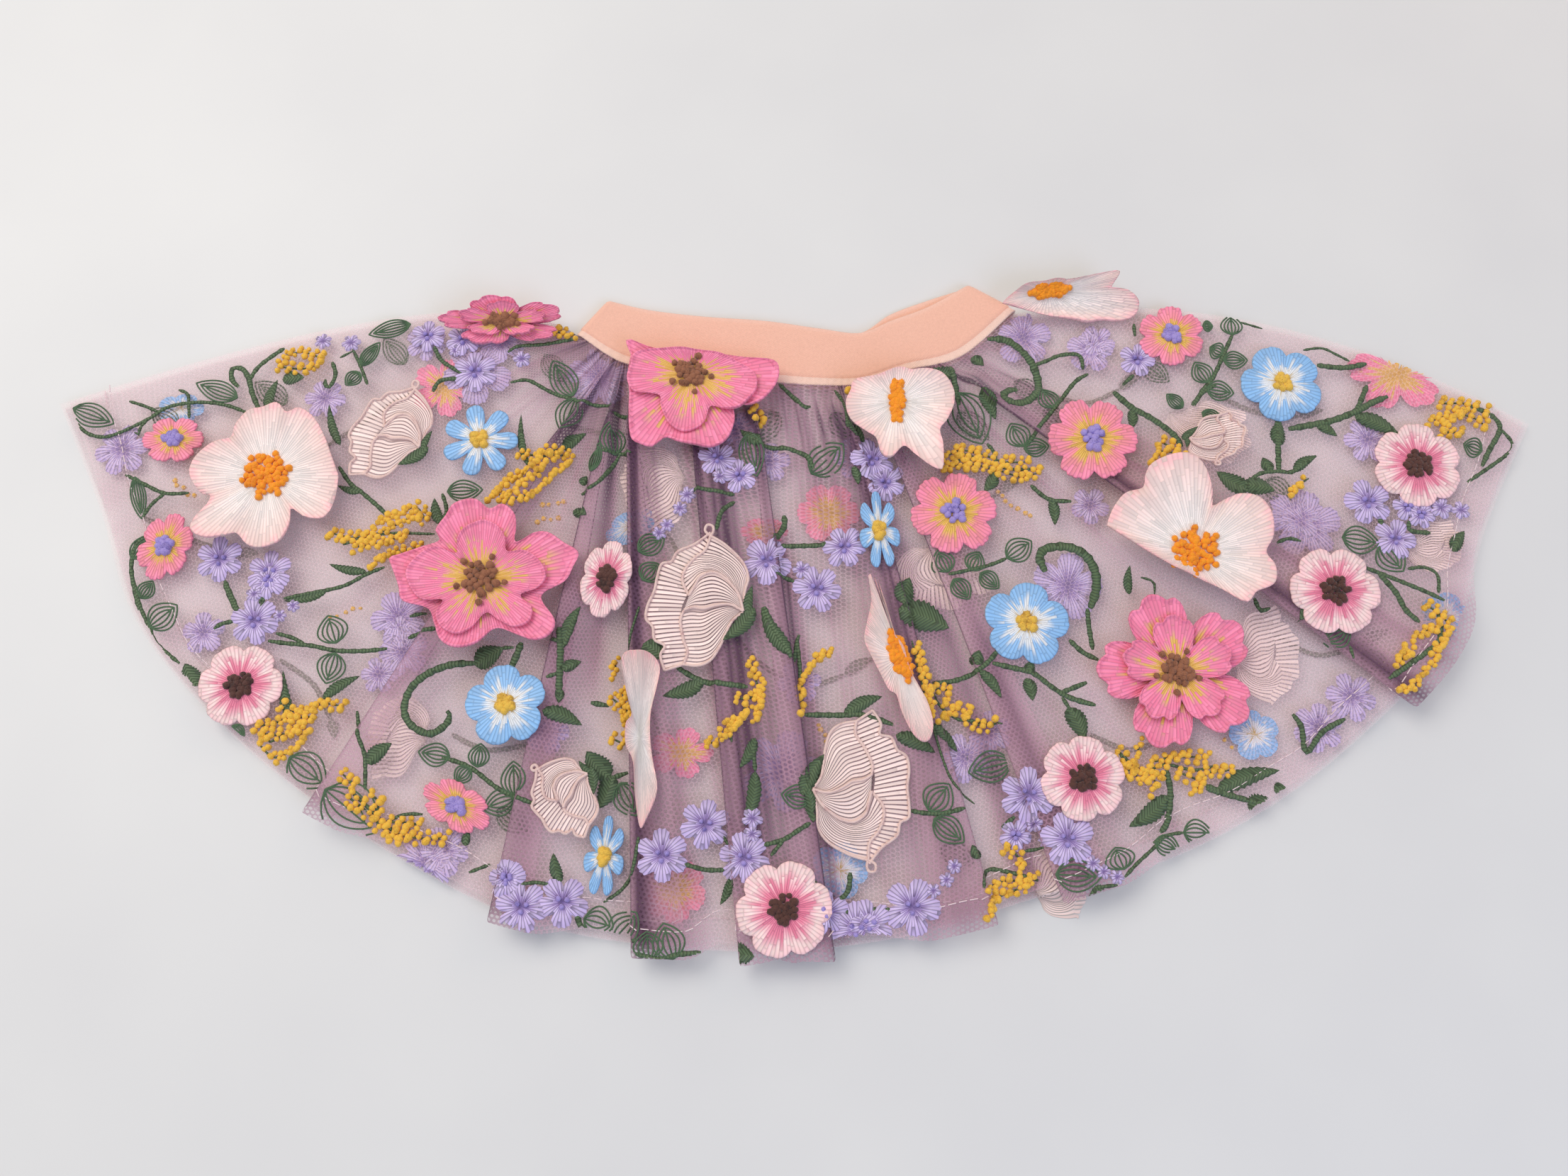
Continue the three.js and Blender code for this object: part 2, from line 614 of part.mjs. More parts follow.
// A flower that leans and bends with what it lies on, and is then raised until it clears it by
// the seam gap. Stitching makes it stiff, so it takes only part of the cloth's form.
function flowerSolid(flower, carriers) {
  const { spokes, rings } = forms[flower.kind];
  const foot = topAt(carriers, flower.x, flower.y);
  const angles = Array.from({ length: spokes }, (_, spoke) => (2 * Math.PI * spoke) / spokes);
  const rims = angles.map((angle) => {
    const point = flowerPoint(flower, rimShare, angle);
    const under = topAt(carriers, point.x, point.y);
    return under > -Infinity ? under : foot;
  });
  const middle = rims.reduce((sum, rim) => sum + rim, 0) / spokes;
  const positions = [];
  const add = (share, spoke, up) => {
    const angle = angles[spoke];
    const point = flowerPoint(flower, share, angle);
    const stand = (flower.lift * (1 + share * Math.sin(angle))) / 2;
    const bend = share * flowerFollow * (rims[spoke] - middle);
    positions.push(point.x, point.y, middle + bend + up + stand);
  };
  const inner = rings.slice(1, -1);
  add(0, 0, rings[0].up);
  inner.forEach((ring) => {
    for (let spoke = 0; spoke < spokes; spoke += 1) {
      add(ring.reach, spoke, ring.up);
    }
  });
  add(0, 0, rings.at(-1).up);
  const vertex = (ring, spoke) => 1 + ring * spokes + (spoke % spokes);
  const lastVertex = 1 + inner.length * spokes;
  const triangles = [];
  for (let spoke = 0; spoke < spokes; spoke += 1) {
    triangles.push(0, vertex(0, spoke), vertex(0, spoke + 1));
    triangles.push(lastVertex, vertex(inner.length - 1, spoke + 1), vertex(inner.length - 1, spoke));
    for (let ring = 0; ring < inner.length - 1; ring += 1) {
      triangles.push(vertex(ring, spoke), vertex(ring + 1, spoke), vertex(ring + 1, spoke + 1));
      triangles.push(vertex(ring, spoke), vertex(ring + 1, spoke + 1), vertex(ring, spoke + 1));
    }
  }
  const geometry = closedGeometry(positions, triangles);
  geometry.translate(0, 0, seamGap - smallestGap(geometry, carriers));
  geometry.computeVertexNormals();
  return geometry;
}

// The smallest height of a solid's underside over its carriers
function smallestGap(geometry, carriers) {
  const own = solidFaces(geometry);
  const samples = 7;
  let gap = Infinity;
  own.faces.forEach(({ a, b, c }) => {
    for (let row = 0; row <= samples; row += 1) {
      for (let column = 0; column <= samples - row; column += 1) {
        const shareB = row / samples;
        const shareC = column / samples;
        const x = a.x + shareB * (b.x - a.x) + shareC * (c.x - a.x);
        const y = a.y + shareB * (b.y - a.y) + shareC * (c.y - a.y);
        const z = a.z + shareB * (b.z - a.z) + shareC * (c.z - a.z);
        gap = Math.min(gap, z - topAt(carriers, x, y));
      }
    }
  });
  carriers.forEach(({ faces }) => {
    faces.forEach(({ a }) => {
      const { min, max } = own.box;
      if (a.x < min.x || a.x > max.x || a.y < min.y || a.y > max.y) {
        return;
      }
      own.faces.forEach((face) => {
        const height = heightOn(face, a.x, a.y);
        if (height !== null) {
          gap = Math.min(gap, height - topAt(carriers, a.x, a.y));
        }
      });
    });
  });
  return gap;
}

function mesh(name, geometry, look) {
  const result = new THREE.Mesh(geometry, new THREE.MeshStandardMaterial(finish[look]));
  result.name = name;
  return result;
}

const netFront = wall(
  panelGrid({
    layer: 'netFront',
    pleats: frontPleats,
    rows: frontRows,
    waistStep: 2.3,
    hemStep: 16,
    side: 0,
    hemPast: 0,
    rippled: true,
  }),
  netHalves(frontRows),
);
const netBack = wall(
  panelGrid({
    layer: 'netBack',
    pleats: [],
    rows: backRows,
    waistStep: 6,
    hemStep: 20,
    side: 0,
    hemPast: 0.01,
    rippled: false,
  }),
  backRows.map(() => clothWall / 2),
);
const lining = (layer) =>
  wall(
    panelGrid({
      layer,
      pleats: [],
      rows: liningRows,
      waistStep: 8,
      hemStep: 26,
      side: liningPast.side,
      hemPast: liningPast.hem,
      rippled: false,
    }),
    liningRows.map(() => clothWall / 2),
  );
const band = waistband();

const skirt = new THREE.Group();
skirt.add(mesh('waistband', band, 'elastic'));
skirt.add(mesh('net_front', netFront, 'net'));
skirt.add(mesh('net_back', netBack, 'net'));
skirt.add(mesh('lining_front', lining('liningFront'), 'lining'));
skirt.add(mesh('lining_back', lining('liningBack'), 'lining'));

const carriers = [solidFaces(band), solidFaces(netFront)];
const counts = {};
flowers.forEach((flower) => {
  const geometry = flowerSolid(flower, carriers);
  carriers.push(solidFaces(geometry));
  counts[flower.kind] = (counts[flower.kind] ?? 0) + 1;
  skirt.add(mesh(`${flower.kind}_${counts[flower.kind]}`, geometry, flower.kind));
});
skirt.position.set(-originInPlan.x, -originInPlan.y, 0);

export default skirt;
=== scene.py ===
import math
from functools import partial

import bmesh
import bpy
import numpy as np
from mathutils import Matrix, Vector
from mathutils.bvhtree import BVHTree


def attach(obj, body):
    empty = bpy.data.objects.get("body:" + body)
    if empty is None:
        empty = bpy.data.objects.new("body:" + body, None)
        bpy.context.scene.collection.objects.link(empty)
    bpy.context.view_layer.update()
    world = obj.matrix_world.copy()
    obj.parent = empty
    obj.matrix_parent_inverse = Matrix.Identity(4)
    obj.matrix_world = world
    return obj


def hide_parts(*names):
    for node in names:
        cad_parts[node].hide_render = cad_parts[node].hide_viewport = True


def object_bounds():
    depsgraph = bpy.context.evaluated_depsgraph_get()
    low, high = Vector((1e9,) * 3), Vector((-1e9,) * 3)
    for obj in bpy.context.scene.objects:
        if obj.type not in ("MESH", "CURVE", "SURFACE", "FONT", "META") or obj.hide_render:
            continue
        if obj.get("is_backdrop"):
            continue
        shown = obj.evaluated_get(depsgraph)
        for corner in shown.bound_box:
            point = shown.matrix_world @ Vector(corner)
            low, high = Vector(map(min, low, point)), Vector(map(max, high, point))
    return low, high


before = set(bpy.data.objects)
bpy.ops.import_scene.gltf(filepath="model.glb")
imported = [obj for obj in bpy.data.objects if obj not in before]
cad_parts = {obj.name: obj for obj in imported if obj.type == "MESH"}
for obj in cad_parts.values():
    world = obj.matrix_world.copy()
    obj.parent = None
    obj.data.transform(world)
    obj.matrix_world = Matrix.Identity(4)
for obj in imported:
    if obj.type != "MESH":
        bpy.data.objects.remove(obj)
cadBox = [list(corner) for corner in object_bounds()]

# A toddler's tutu skirt that lies flat: soft elastic, an embroidered net over a plain lining, and
# loose stitched blossoms. Sizes are millimetres, and a mesh is turned to metres when it is made.
metre = 0.001
originInPlan = np.array([3.7, -7.9, 0.0])  # the skirt's middle, which the frame has at x = 0, y = 0


# Nodes and materials

def linear(hexColour):
    parts = [int(hexColour[place:place + 2], 16) / 255 for place in (1, 3, 5)]
    return [part / 12.92 if part <= 0.04045 else ((part + 0.055) / 1.055) ** 2.4 for part in parts] + [1.0]


# Adds one node. Inputs are named, or listed in order, and a socket among them is linked.
def addNode(tree, kind, inputs=(), out=0, stops=(), **settings):
    node = tree.nodes.new(kind)
    for name, value in settings.items():
        setattr(node, name, value)
    for socket, value in inputs.items() if isinstance(inputs, dict) else enumerate(inputs):
        if isinstance(value, bpy.types.NodeSocket):
            tree.links.new(value, node.inputs[socket])
        else:
            node.inputs[socket].default_value = value
    elements = node.color_ramp.elements if stops else ()
    while len(elements) < len(stops):
        elements.new(1.0)
    for element, (place, hexColour) in zip(elements, stops):
        element.position = place
        element.color = linear(hexColour)
    return node.outputs if out is None else node.outputs[out]


def startMaterial(name):
    material = bpy.data.materials.new(name)
    material.use_nodes = True
    material.node_tree.nodes.clear()
    return material, partial(addNode, material.node_tree)


def endMaterial(material, add, surface):
    add("ShaderNodeOutputMaterial", [add("ShaderNodeBsdfPrincipled", surface)], None)
    return material


# Rayon embroidery thread laid side by side: round glossy strands that catch the light along their
# length, with painted shade darkening the gap between two strands and a painted shade speck where a
# stitch goes down. The real thread is 0.4 mm wide, drawn coarser so that it shows from the camera.
rayon = {
    "shine": {"Roughness": 0.45, "Sheen Weight": 0.3, "Sheen Roughness": 0.4, "Specular IOR Level": 0.35},
    "stagger": 9.0,  # in stitches, from one strand to the next
    "stitchEnd": 0.12, "tones": (0.86, 1.12), "bump": 0.6, "bumpHeight": 0.35,
    "hole": (0.42, 0.62), "holeOpacity": 0.08,
}


def rayonThread(name, stops, pitch=1.15, stitch=7.0, ragged=0.25, gapShade=0.55, openwork=False):
    material, add = startMaterial(name)
    place = add("ShaderNodeSeparateXYZ", [add("ShaderNodeUVMap", uv_map="stitch")], None)
    across = add("ShaderNodeMath", [place[0], 1 / pitch], operation="MULTIPLY")
    strand = add("ShaderNodeMath", [across], operation="FLOOR")
    strandLuck = add("ShaderNodeTexWhiteNoise", {"W": strand}, "Value", noise_dimensions="1D")
    shift = add("ShaderNodeMath", [strandLuck, rayon["stagger"]], operation="MULTIPLY")
    along = add("ShaderNodeMath", [place[1], 1 / stitch, shift], operation="MULTIPLY_ADD")
    row = add("ShaderNodeMath", [along], operation="FLOOR")
    cell = add("ShaderNodeCombineXYZ", [strand, row])
    luck = add("ShaderNodeTexWhiteNoise", {"Vector": cell}, "Value", noise_dimensions="2D")
    side = add("ShaderNodeMath", [across], operation="FRACT")
    side = add("ShaderNodeMath", [side, 0.5], operation="SUBTRACT")
    square = add("ShaderNodeMath", [side, side], operation="MULTIPLY")
    hump = add("ShaderNodeMath", [square, -4.0, 1.0], operation="MULTIPLY_ADD")
    onward = add("ShaderNodeMath", [along], operation="FRACT")
    end = add("ShaderNodeMapRange", {0: onward, 2: rayon["stitchEnd"]})
    form = add("ShaderNodeMath", [hump, end], operation="MULTIPLY")
    reach = add("ShaderNodeAttribute", out="Fac", attribute_name="reach")
    spread = add("ShaderNodeMath", [luck, 0.5], operation="SUBTRACT")
    spread = add("ShaderNodeMath", [spread, ragged, reach], operation="MULTIPLY_ADD")
    # Painted shade: darker towards the gap between two strands and at each stitch's end
    paintedShade = add("ShaderNodeMapRange", {0: form, 2: 0.7, 3: 1 - gapShade, 4: 1.0})
    vary = add("ShaderNodeMapRange", {0: luck, 3: rayon["tones"][0], 4: rayon["tones"][1]})
    light = add("ShaderNodeMath", [paintedShade, vary], operation="MULTIPLY")
    body = add("ShaderNodeValToRGB", [spread], stops=stops)
    surface = dict(rayon["shine"])
    surface["Base Color"] = add("ShaderNodeVectorMath", {0: body, "Scale": light}, operation="SCALE")
    surface["Normal"] = add("ShaderNodeBump", {
        "Strength": rayon["bump"], "Distance": rayon["bumpHeight"] * metre, "Height": form})
    if openwork:
        start, end = rayon["hole"]
        surface["Alpha"] = add("ShaderNodeMapRange", [hump, start, end, rayon["holeOpacity"], 1.0])
    return endMaterial(material, add, surface)


# Knotted thread: short loops of the same rayon, so a lumpy matt ball, with painted shade in its hollows:
# the colour turns darker where the bump is low, and its tone varies in larger clouds
knotted = {"grain": 0.5, "clouds": 4.0, "hollowShade": 0.06, "top": 0.24, "bump": 0.7, "bumpHeight": 0.4}


def knottedThread(name, light, paintedShade):
    material, add = startMaterial(name)
    place = add("ShaderNodeTexCoord", out="Object")
    noises = []
    for size, detail in ((knotted["grain"], 2.0), (knotted["clouds"], 1.0)):
        inputs = {"Vector": place, "Scale": 1 / (size * metre), "Detail": detail}
        noises.append(add("ShaderNodeTexNoise", inputs))
    both = add("ShaderNodeMath", noises, operation="MULTIPLY")
    # The low end is painted shade in the knot's hollows, the high end the thread's own colour on its tops
    stops = [(knotted["hollowShade"], paintedShade), (knotted["top"], light)]
    return endMaterial(material, add, {
        "Roughness": 0.6, "Sheen Weight": 0.3, "Specular IOR Level": 0.3,
        "Base Color": add("ShaderNodeValToRGB", [both], stops=stops),
        "Normal": add("ShaderNodeBump", {
            "Strength": knotted["bump"], "Distance": knotted["bumpHeight"] * metre, "Height": noises[0]})})


# Nylon tulle, knitted to six-sided holes: the eye sees through it, and sees it denser where it is
# gathered. Its colour darkens with the same density value, as painted shade of folds and of the layers
# under them. The real holes are 1.45 mm apart with 0.15 mm thread, drawn coarser so that they show.
tulle = {
    "pitch": 1.8,
    "threadEdge": -0.95,  # of the sum of three waves, below which there is thread
    "gatheredEdge": 1.7,
    "softness": 0.45,
    "thread": (0.31, 0.85),  # how much a thread hides, on open cloth and on gathered cloth
    "film": (0.085, 0.34),  # and how much the hole between threads hides
    # from open net to dense net; the dark end is painted shade for folds and the layers under them
    "colours": [(0.0, "#fbd6df"), (0.4, "#c596aa"), (1.0, "#583650")],
}


def nylonTulle(name):
    material, add = startMaterial(name)
    place = add("ShaderNodeUVMap", uv_map="cut")
    turns = 4 * math.pi / (math.sqrt(3) * tulle["pitch"])
    waves = []
    for third in range(3):
        angle = third * 2 * math.pi / 3
        normal = (turns * math.cos(angle), turns * math.sin(angle), 0)
        dot = add("ShaderNodeVectorMath", [place, normal], "Value", operation="DOT_PRODUCT")
        waves.append(add("ShaderNodeMath", [dot], operation="COSINE"))
    total = add("ShaderNodeMath", [add("ShaderNodeMath", waves[:2]), waves[2]])
    # The density value, painted fold shade included, sets both how much the net hides and how dark it is
    densityWithFoldShade = add("ShaderNodeAttribute", out="Fac", attribute_name="densityWithFoldShade")
    rise = [densityWithFoldShade, tulle["gatheredEdge"], tulle["threadEdge"]]
    edge = add("ShaderNodeMath", rise, operation="MULTIPLY_ADD")
    depth = add("ShaderNodeMath", [edge, total], operation="SUBTRACT")
    film, thread = [add("ShaderNodeMapRange", {0: densityWithFoldShade, 3: tulle[part][0], 4: tulle[part][1]})
                    for part in ("film", "thread")]
    return endMaterial(material, add, {
        "Roughness": 0.6, "Sheen Weight": 0.4, "Specular IOR Level": 0.3,
        "Base Color": add("ShaderNodeValToRGB", [densityWithFoldShade], stops=tulle["colours"]),
        "Alpha": add("ShaderNodeMapRange", [depth, -tulle["softness"], tulle["softness"], film, thread])})


# Plain fine nylon net for the lining: no holes to be seen, only a milky veil with a faint grain
fineNet = {"opacity": 0.14, "uneven": 0.3, "colour": "#fbe3e4"}


def fineNylonNet(name):
    material, add = startMaterial(name)
    place = add("ShaderNodeUVMap", uv_map="cut")
    grain = add("ShaderNodeTexNoise", {"Vector": place, "Scale": 1.1, "Detail": 2.0})
    thin, full = [fineNet["opacity"] * (1 + side * fineNet["uneven"]) for side in (-1, 1)]
    return endMaterial(material, add, {
        "Roughness": 0.7, "Sheen Weight": 0.3, "Base Color": linear(fineNet["colour"]),
        "Alpha": add("ShaderNodeMapRange", [grain, 0.3, 0.7, thin, full])})


# Plush elastic: brushed nylon knitted over rubber, so soft and matt, with fine ribs along the band.
# Its ramp has the thin lip's pale tone at the low end. The real ribs are 0.6 mm apart.
plush = {
    "ribPitch": 0.9, "knitPitch": 1.3, "fuzz": 0.9, "clouds": 30.0,
    "colours": [(0.1, "#fbd6c4"), (0.26, "#fad1be"), (0.3, "#f6baa2"), (0.75, "#f9c2aa"), (1.0, "#fac9b6")],
}


def plushElastic(name):
    material, add = startMaterial(name)
    place = add("ShaderNodeSeparateXYZ", [add("ShaderNodeUVMap", uv_map="stitch")], None)
    waves = []
    for side, pitch in ((1, plush["ribPitch"]), (0, plush["knitPitch"])):
        wave = add("ShaderNodeMath", [place[side], 2 * math.pi / pitch], operation="MULTIPLY")
        waves.append(add("ShaderNodeMath", [wave], operation="SINE"))
    weave = add("ShaderNodeMath", waves, operation="MULTIPLY")
    fuzz, clouds = [add("ShaderNodeTexNoise", {"Vector": add("ShaderNodeTexCoord", out="Object"),
                                               "Scale": 1 / (size * metre), "Detail": detail})
                    for size, detail in ((plush["fuzz"], 3.0), (plush["clouds"], 2.0))]
    reach = add("ShaderNodeAttribute", out="Fac", attribute_name="reach")
    tone = add("ShaderNodeMath", [clouds, 0.25, reach], operation="MULTIPLY_ADD")
    body = add("ShaderNodeValToRGB", [tone], stops=plush["colours"])
    vary = add("ShaderNodeMapRange", [fuzz, 0.2, 0.8, 0.93, 1.05])
    height = add("ShaderNodeMath", [weave, 0.35, fuzz], operation="MULTIPLY_ADD")
    return endMaterial(material, add, {
        "Roughness": 0.85, "Sheen Weight": 0.7, "Sheen Roughness": 0.5, "Specular IOR Level": 0.2,
        "Base Color": add("ShaderNodeVectorMath", {0: body, "Scale": vary}, operation="SCALE"),
        "Normal": add("ShaderNodeBump", {"Strength": 0.5, "Distance": 0.25 * metre, "Height": height})})


# Geometry node trees

def startTree(name, sockets):
    tree = bpy.data.node_groups.new(name, "GeometryNodeTree")
    tree.interface.new_socket("Geometry", in_out="INPUT", socket_type="NodeSocketGeometry")
    for socket, kind in sockets.items():
        tree.interface.new_socket(socket, in_out="INPUT", socket_type="NodeSocket" + kind)
    tree.interface.new_socket("Geometry", in_out="OUTPUT", socket_type="NodeSocketGeometry")
    add = partial(addNode, tree)
    return tree, add("NodeGroupInput", out=None), add


def endTree(tree, add, geometry, material):
    real = add("GeometryNodeRealizeInstances", [geometry])
    done = add("GeometryNodeSetMaterial", {0: real, "Material": material})
    add("NodeGroupOutput", [done], None)
    return tree


# Lumpy knots of thread on a cloud of points
def knotTree():
    tree, given, add = startTree("threadKnots", {"Size": "Float", "Spread": "Float", "Lumps": "Float",
                                                 "Seed": "Int", "Material": "Material"})
    ball = add("GeometryNodeMeshIcoSphere", {"Radius": 1.0, "Subdivisions": 2})
    noise = add("ShaderNodeTexNoise", {"Scale": 1.3, "Detail": 1.0}, "Fac")
    lump = add("ShaderNodeMath", [noise, 0.5], operation="SUBTRACT")
    lump = add("ShaderNodeMath", [lump, given["Lumps"]], operation="MULTIPLY")
    push = add("ShaderNodeVectorMath", {0: add("GeometryNodeInputNormal"), "Scale": lump}, operation="SCALE")
    ball = add("GeometryNodeSetPosition", {0: ball, "Offset": push})
    anyTurn = {"Max": (6.283, 6.283, 6.283), "Seed": given["Seed"]}
    turn = add("FunctionNodeRandomValue", anyTurn, data_type="FLOAT_VECTOR")
    low = add("ShaderNodeMath", [1.0, given["Spread"]], operation="SUBTRACT")
    high = add("ShaderNodeMath", [1.0, given["Spread"]])
    share = add("FunctionNodeRandomValue", {2: low, 3: high, "Seed": given["Seed"]}, 1, data_type="FLOAT")
    own = add("GeometryNodeInputNamedAttribute", {"Name": "size"}, "Attribute", data_type="FLOAT")
    size = add("ShaderNodeMath", [share, own], operation="MULTIPLY")
    size = add("ShaderNodeMath", [size, given["Size"]], operation="MULTIPLY")
    balls = add("GeometryNodeInstanceOnPoints", {"Points": given["Geometry"], "Instance": ball,
                                                 "Rotation": turn, "Scale": size})
    smooth = add("GeometryNodeSetShadeSmooth", [add("GeometryNodeRealizeInstances", [balls])])
    return endTree(tree, add, smooth, given["Material"])


# Round strands along lines of edges
def strandTree():
    tree, given, add = startTree("threadStrands", {"Radius": "Float", "Sides": "Int",
                                                   "Material": "Material"})
    curve = add("GeometryNodeMeshToCurve", [given["Geometry"]])
    ring = add("GeometryNodeCurvePrimitiveCircle", {"Resolution": given["Sides"], "Radius": given["Radius"]})
    tube = add("GeometryNodeCurveToMesh", {"Curve": curve, "Profile Curve": ring, "Fill Caps": True})
    smooth = add("GeometryNodeSetShadeSmooth", [tube])
    return endTree(tree, add, smooth, given["Material"])


# Separate stitches in a row along lines of edges
def stitchTree():
    tree, given, add = startTree("stitchRow", {"Pitch": "Float", "Length": "Float", "Radius": "Float",
                                               "Material": "Material"})
    curve = add("GeometryNodeMeshToCurve", [given["Geometry"]])
    row = add("GeometryNodeResampleCurve", {"Curve": curve, "Length": given["Pitch"]}, mode="LENGTH")
    stitch = add("GeometryNodeMeshCylinder", {"Vertices": 6, "Side Segments": 3, "Radius": given["Radius"],
                                              "Depth": given["Length"]})
    turn = add("FunctionNodeAlignRotationToVector", {"Vector": add("GeometryNodeInputTangent")}, axis="Z")
    stitches = add("GeometryNodeInstanceOnPoints", {"Points": row, "Instance": stitch, "Rotation": turn})
    return endTree(tree, add, stitches, given["Material"])


def grow(name, points, edges, tree, inputs, sizes=None):
    mesh = bpy.data.meshes.new(name)
    mesh.from_pydata((np.asarray(points) - originInPlan) * metre, edges, [])
    if sizes is not None:
        sizeData = mesh.attributes.new("size", "FLOAT", "POINT").data
        sizeData.foreach_set("value", np.asarray(sizes, np.float32))
    source = bpy.data.objects.new(name, mesh)
    bpy.context.scene.collection.objects.link(source)
    modifier = source.modifiers.new("grow", "NODES")
    modifier.node_group = tree
    for item in tree.interface.items_tree:
        if item.in_out == "INPUT" and item.name in inputs:
            modifier[item.identifier] = inputs[item.name]
    source.update_tag()
    evaluated = source.evaluated_get(bpy.context.evaluated_depsgraph_get())
    grown = bpy.data.meshes.new_from_object(evaluated)
    source.modifiers.clear()
    source.data = grown
    bpy.data.meshes.remove(mesh)
    return source


# The skirt's form in plan, as the solids have it
cloth = {
    "seamGap": 0.3, "gatherPitch": 8.0, "gatherRise": 0.8, "longFoldRise": 0.9, "foldRadius": 0.85,
    "shortestRun": 1.0, "runRise": 0.6, "settled": 0.16, "arcAtWaist": 0.3, "upperHang": 0.009,
    "sideWidth": 1.5, "stationPitch": 24.5, "rayPitch": 50.0,
    "arcSteps": 6, "runStep": 4.0,  # finer than the solids
    "fineGather": 0.35, "fineFold": 0.35,  # small ripples that only show here
    "longWaves": ((1, 2.4, 0.6), (0.5, 4.3, 2)),  # height, turns in a ray, and where each starts
    "gatherEnds": 0.5, "fineGatherEnds": 0.35,
}
# The waistband's lower and top edge, and how far its back stands out past its front
bandStations = np.array([
    (-85, 108, -73, 125, 0), (-67, 96, -57, 121, 0), (-42, 91, -34, 118, 0), (-13, 88, -8, 116, 0),
    (13, 86, 15, 112.5, 0), (32, 86.5, 32, 110.5, 1), (50, 92.5, 45, 116, 4), (74, 99, 61, 122.5, 4),
    (96, 119, 77, 132, 0)], float)
# Rays from the waist to the hem: place along the band, hem point, and bow of the middle
rays = np.array([
    (0, -296, 79, 65, 49), (0.17, -275, 34, 20, 28), (0.33, -256, -12, 8, 14), (0.55, -223, -50, 0, 6),
    (0.75, -185, -81, 0, 0), (0.87, -142, -108, 0, 0), (1, -97, -129, 0, 0), (1.22, -50, -138, 0, 0),
    (2.55, 0, -140, 0, 0), (3.75, 49, -134, 0, 0), (5, 97, -120, 0, 0), (5.68, 144, -107, 0, 0),
    (6.2, 188, -85, 0, 0), (6.5, 228, -55, 0, 0), (6.9, 263, -20, 0, 4), (7.35, 282, 26, 0, 12),
    (8, 305, 70, 0, 40)], float)
lastRay = len(rays) - 1
# Pleats of the front: edge ray, side that lies on top, depth at the hem, ramp, share of full turn
frontPleats = [
    (4.16, 1, 9, 0.5, 0.3), (5.76, 1, 13, 0.5, 0.2), (6.88, 1, 18, 0.3, 0.14), (7.68, 1, 8, 0.3, 0.14),
    (8.34, -1, 12, 0.2, 0.14), (9.58, -1, 20, 0.6, 0.14), (10.14, 1, 20, 0.6, 0.14),
    (13.3, 1, 34, 0.8, 0.14)]
# Height of each layer at the waist, halfway, at the hem and at the side edges
stack = {"netBack": (0.7, 0.7, 0.7, 0.7), "liningBack": (1.9, 3.2, 2.6, 1.8),
         "liningFront": (4.0, 5.6, 4.6, 3.1), "netFront": (5.6, 7.6, 6.4, 4.4)}


def mix(start, end, share):
    return start + (end - start) * share


def ease(value):
    share = np.clip(value, 0, 1)
    return share * share * (3 - 2 * share)


# A smooth curve through a table's rows, at row numbers with a fraction
def along(table, row):
    row = np.asarray(row, float)
    last = len(table) - 1
    first = np.clip(np.floor(row).astype(int), 0, last - 1)
    share = (row - first)[..., None]
    before, start, end, after = (table[np.clip(first + step, 0, last)] for step in (-1, 0, 1, 2))
    startSlope, endSlope, rise = (end - before) / 2, (after - start) / 2, end - start
    square = 3 * rise - 2 * startSlope - endSlope
    return start + share * (startSlope + share * (square + share * (startSlope + endSlope - 2 * rise)))


def bandPoint(place, height):
    station = along(bandStations, place)
    return mix(station[..., 0:2], station[..., 2:4], np.asarray(height)[..., None])


def fan(ray, down):
    ray, down = np.broadcast_arrays(np.asarray(ray, float), np.asarray(down, float))
    row = along(rays, ray)
    low, top = bandPoint(row[..., 0], 0.0), bandPoint(row[..., 0], 1.0)
    out = (low - top) / np.linalg.norm(low - top, axis=-1, keepdims=True)
    share = down[..., None]
    return mix(low + cloth["seamGap"] * out, row[..., 1:3], share) + 2 * share * (1 - share) * row[..., 3:5]


def across(ray, down, step=0.02):
    change = fan(np.asarray(ray) + step, down) - fan(np.asarray(ray) - step, down)
    length = np.linalg.norm(change, axis=-1)
    return change / length[..., None], length / (2 * step)


def layerHeight(layer, ray, down):
    waist, middle, hem, side = stack[layer]
    inside = mix(mix(waist, middle, ease(down / 0.3)), hem, ease((down - 0.55) / 0.4))
    return mix(side, inside, ease(np.minimum(ray, lastRay - ray) / cloth["sideWidth"]))


def ripple(ray, down):
    place = along(rays, ray)[..., 0]
    turns = 2 * math.pi * place * cloth["stationPitch"] / cloth["gatherPitch"]
    fade = mix(0.5, 1, ease(down / 0.1)) * (1 - ease(down / cloth["gatherEnds"]))
    wave = sum(height * np.sin(turning * ray + start) for height, turning, start in cloth["longWaves"])
    fold = cloth["longFoldRise"] * ease((down - 0.2) / 0.4) * (1 - 0.5 * ease((down - 0.7) / 0.3))
    fine = 1 + np.sin(2.7 * turns + 3 * np.sin(0.31 * turns))
    fine = cloth["fineGather"] * (1 - ease(down / cloth["fineGatherEnds"])) * fine
    drift = cloth["fineFold"] * ease(down / 0.3) * np.sin(9.1 * ray + 2.5 * np.sin(1.3 * ray) + 5 * down)
    gather = cloth["gatherRise"] * fade * (1 + np.sin(turns))
    return ease(np.minimum(ray, lastRay - ray)) * (gather + fold * (1.5 + wave) + fine + drift)


